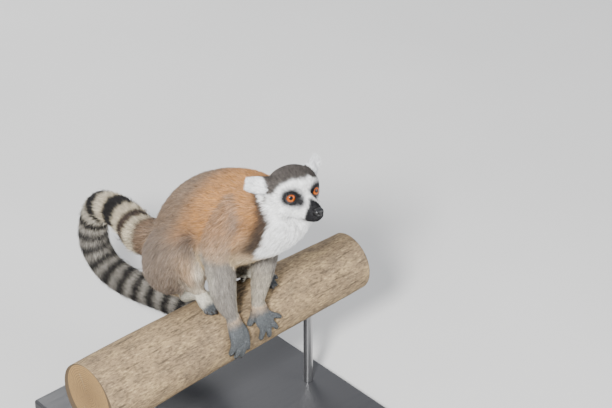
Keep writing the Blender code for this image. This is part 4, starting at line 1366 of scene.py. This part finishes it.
def hair_coat(name, parts, thickness, tuft, pull, loose, seed):
    """One joined mesh of hairs for some parts of the body: five points and two faces a hair.

    A hair goes from its root to a middle row and a tip. The middle and the tip are set
    between the nearest places on the skin and on the outline, so it follows the body.
    """
    draw = np.random.default_rng(seed)
    chosen = is_of(chart_of(owner[triangles[:, 0]]), *parts) & haired
    which, share = planted(chosen, triangles, area, thickness, draw)
    corner = triangles[which]

    def at_root(values):
        """The values of the skin's points, shared out over each root's own triangle."""
        return (values[corner] * share.reshape(share.shape + (1,) * (values.ndim - 1))).sum(1)

    root, normal = at_root(points), unit(at_root(normals))
    flow, deep, long, wide = (at_root(values) for values in (heading, depth, length, spread))
    lead = owner[corner[:, 0]]
    count = len(root)
    swirl = np.stack([ripple(root, 2.6, k) for k in (41, 42, 43)], 1) * SWIRL
    flow = flow + swirl + STRAY * draw.normal(size=(count, 3))
    flow = unit(flow - normal * (flow * normal).sum(1)[:, None])
    long = long * draw.uniform(0.72, 1.12, count)
    tip = root + flow * long[:, None] + normal * (deep * 0.6)[:, None]
    tip = gathered(tip, root, tuft, pull * draw.uniform(0.5, 1.0, count), draw)
    half = 0.5 * (root + tip) + normal * (deep * 0.5)[:, None]
    on_skin, on_coat = nearest_on(tip, skin), nearest_on(tip, outline)
    lifted = draw.uniform(0.5, 1.0 + 0.3 * loose, count)
    lifted = lifted + (draw.random(count) < 0.1) * draw.uniform(0.0, 0.5 * loose + 0.1, count)
    tip_top = on_skin + (on_coat - on_skin) * lifted[:, None]
    tip_top = tip_top + (tip - tip_top) * (loose * draw.random(count))[:, None]
    mid_skin, mid_coat = nearest_on(half, skin), nearest_on(half, outline)
    middle = mid_skin + (mid_coat - mid_skin) * (lifted * draw.uniform(0.55, 0.8, count))[:, None]
    up_there = unit(on_coat - on_skin + normal * 0.05)
    across = unit(np.cross(unit(tip_top - root), up_there) + 0.45 * draw.normal(size=(count, 1)) * up_there)
    across = across * (wide * draw.uniform(0.7, 1.25, count))[:, None]
    base = root - normal * SUNK
    waist = across * 0.8
    rows = np.stack([base - across, base + across, middle - waist, middle + waist, tip_top], axis=1)
    corners = (np.arange(count) * rows.shape[1])[:, None] + HAIR_CORNERS
    sizes = np.tile(HAIR_SIZES, count)
    made = add_piece(name, to_world(rows.reshape(-1, 3)), corners.ravel(), sizes, coat_finish)
    set_tint(made.data, hair_tint(root, middle, tip_top, flow, lead, draw))
    places = np.stack(root_patch(root, lead), 1)[:, None] + HAIR_PATCH[None]
    layer = made.data.uv_layers.new(name="OFBake")
    layer.data.foreach_set("uv", places.astype(np.float32).ravel())
    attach(made, "root")
    return made


coat_finish = Finish("soft_hair", Roughness=0.62, Specular_IOR_Level=0.22)
coat_finish.feed(Base_Color=coat_finish.node("Attribute", {"attribute_name": "tint"}))

triangles, area = skin_triangles()
middles = points[triangles].mean(1)
forward, left, up = head_places(middles)
haired = np.ones(len(triangles), bool)
for sign in (-1, 1):
    centre, gaze, nose_ward, upward = eye_frame(sign)
    off = middles - centre
    turn = np.arctan2(off @ upward, off @ nose_ward)
    angle = np.arccos(np.clip(off @ gaze / np.linalg.norm(off, axis=1), -1, 1))
    haired &= ~((np.linalg.norm(off, axis=1) < 1.4) & (angle < lid_opening(turn) + 0.16))
nose_off = (np.stack([forward, left, up], 1) - NOSE_MIDDLE) / NOSE_SIZE
haired &= (nose_off**2).sum(1) > 1.15
under = np.linalg.norm(middles[:, 1:], axis=1) < BRANCH_RADIUS - BRANCH_TAPER * middles[:, 0] + 0.12
haired &= ~under

thickness = 1.0
# Each piece: its parts of the body, its share of the full number of hairs, the size of its
# tufts, how far they draw together, how loosely the tips stand, its seed and its slot.
COATS = {
    "coat_head": (("head",), 1.0, 0.24, 0.5, 0.25, 61, "coat_white"),
    "coat_ears": (("ear",), 1.15, 0.18, 0.3, 0.9, 62, "coat_white"),
    "coat_trunk_under": (("trunk",), 0.32, 0.22, 0.4, 0.15, 63, "coat_fawn"),
    "coat_trunk_middle": (("trunk",), 0.32, 0.28, 0.5, 0.3, 64, "coat_fawn"),
    "coat_trunk_over": (("trunk",), 0.32, 0.34, 0.6, 0.5, 71, "coat_fawn"),
    "coat_arms": (("arm",), 0.8, 0.32, 0.55, 0.2, 65, "coat_grey"),
    "coat_thighs": (("thigh",), 0.85, 0.34, 0.6, 0.45, 66, "coat_grey"),
    "coat_shins": (("shin",), 0.9, 0.34, 0.55, 0.25, 67, "coat_grey"),
    "coat_paws": (("hand", "foot"), 1.0, 0.16, 0.4, 0.1, 68, "skin_slate"),
    "coat_tail_under": (("tail",), 0.43, 0.4, 0.5, 0.5, 69, "coat_ringed"),
    "coat_tail_over": (("tail",), 0.43, 0.5, 0.7, 1.0, 70, "coat_ringed"),
}
for name, (parts, much, tuft, pull, loose, seed, slot) in COATS.items():
    coat_piece = hair_coat(name, parts, much * thickness, tuft, pull, loose, seed)
bpy.data.objects.remove(outline)

# --- The studio: a pale floor under three soft round lights and pale air, and the camera,
# which looks down on the animal from its right and from the front.


def add_light(name, place, size, power, aim=(0.0, 0.0, 0.25)):
    """A round soft light, its size in metres and its power in watts, turned to the animal."""
    data = bpy.data.lights.new(name, "AREA")
    data.shape = "DISK"
    data.size = size
    data.energy = power
    lamp = bpy.data.objects.new(name, data)
    lamp.location = place
    toward = Vector(aim) - Vector(place)
    lamp.rotation_euler = toward.to_track_quat("-Z", "Y").to_euler()
    bpy.context.scene.collection.objects.link(lamp)


floor_finish = Finish("pale_floor", Roughness=0.9)
speckle = floor_finish.noise(3.0, 2.0)
floor_finish.feed(Base_Color=floor_finish.mix(speckle, rgb(190, 189, 186), rgb(200, 199, 196)))
FLOOR_REACH = 9.0
floor_corners = np.array(((-1, -1, 0), (1, -1, 0), (1, 1, 0), (-1, 1, 0))) * FLOOR_REACH
floor = add_piece("floor", floor_corners, [0, 1, 2, 3], np.array([4]), floor_finish)

world = bpy.data.worlds.new("studio_air")
world.use_nodes = True
air = world.node_tree.nodes["Background"].inputs
air["Color"].default_value = (0.86, 0.90, 1.0, 1.0)
air["Strength"].default_value = 0.78
bpy.context.scene.world = world
add_light("key", (-1.8, -1.4, 2.0), 0.45, 215.0)
add_light("fill", (1.3, -2.0, 1.1), 1.6, 38.0)
add_light("rim", (0.6, 2.0, 1.6), 1.2, 40.0)

camera_data = bpy.data.cameras.new("camera")
camera_data.sensor_width = 36.0
camera_data.lens = 126.18
camera_data.clip_end = 30.0
camera = bpy.data.objects.new("camera", camera_data)
camera.location = (-1.3309, -1.6429, 1.6959)
looking_down = np.radians(33.0)
toward = Vector((0.669131, 0.743145, 0.0)) * np.cos(looking_down).item()
toward.z = -np.sin(looking_down).item()
camera.rotation_euler = toward.to_track_quat("-Z", "Y").to_euler()
bpy.context.scene.collection.objects.link(camera)
bpy.context.scene.camera = camera
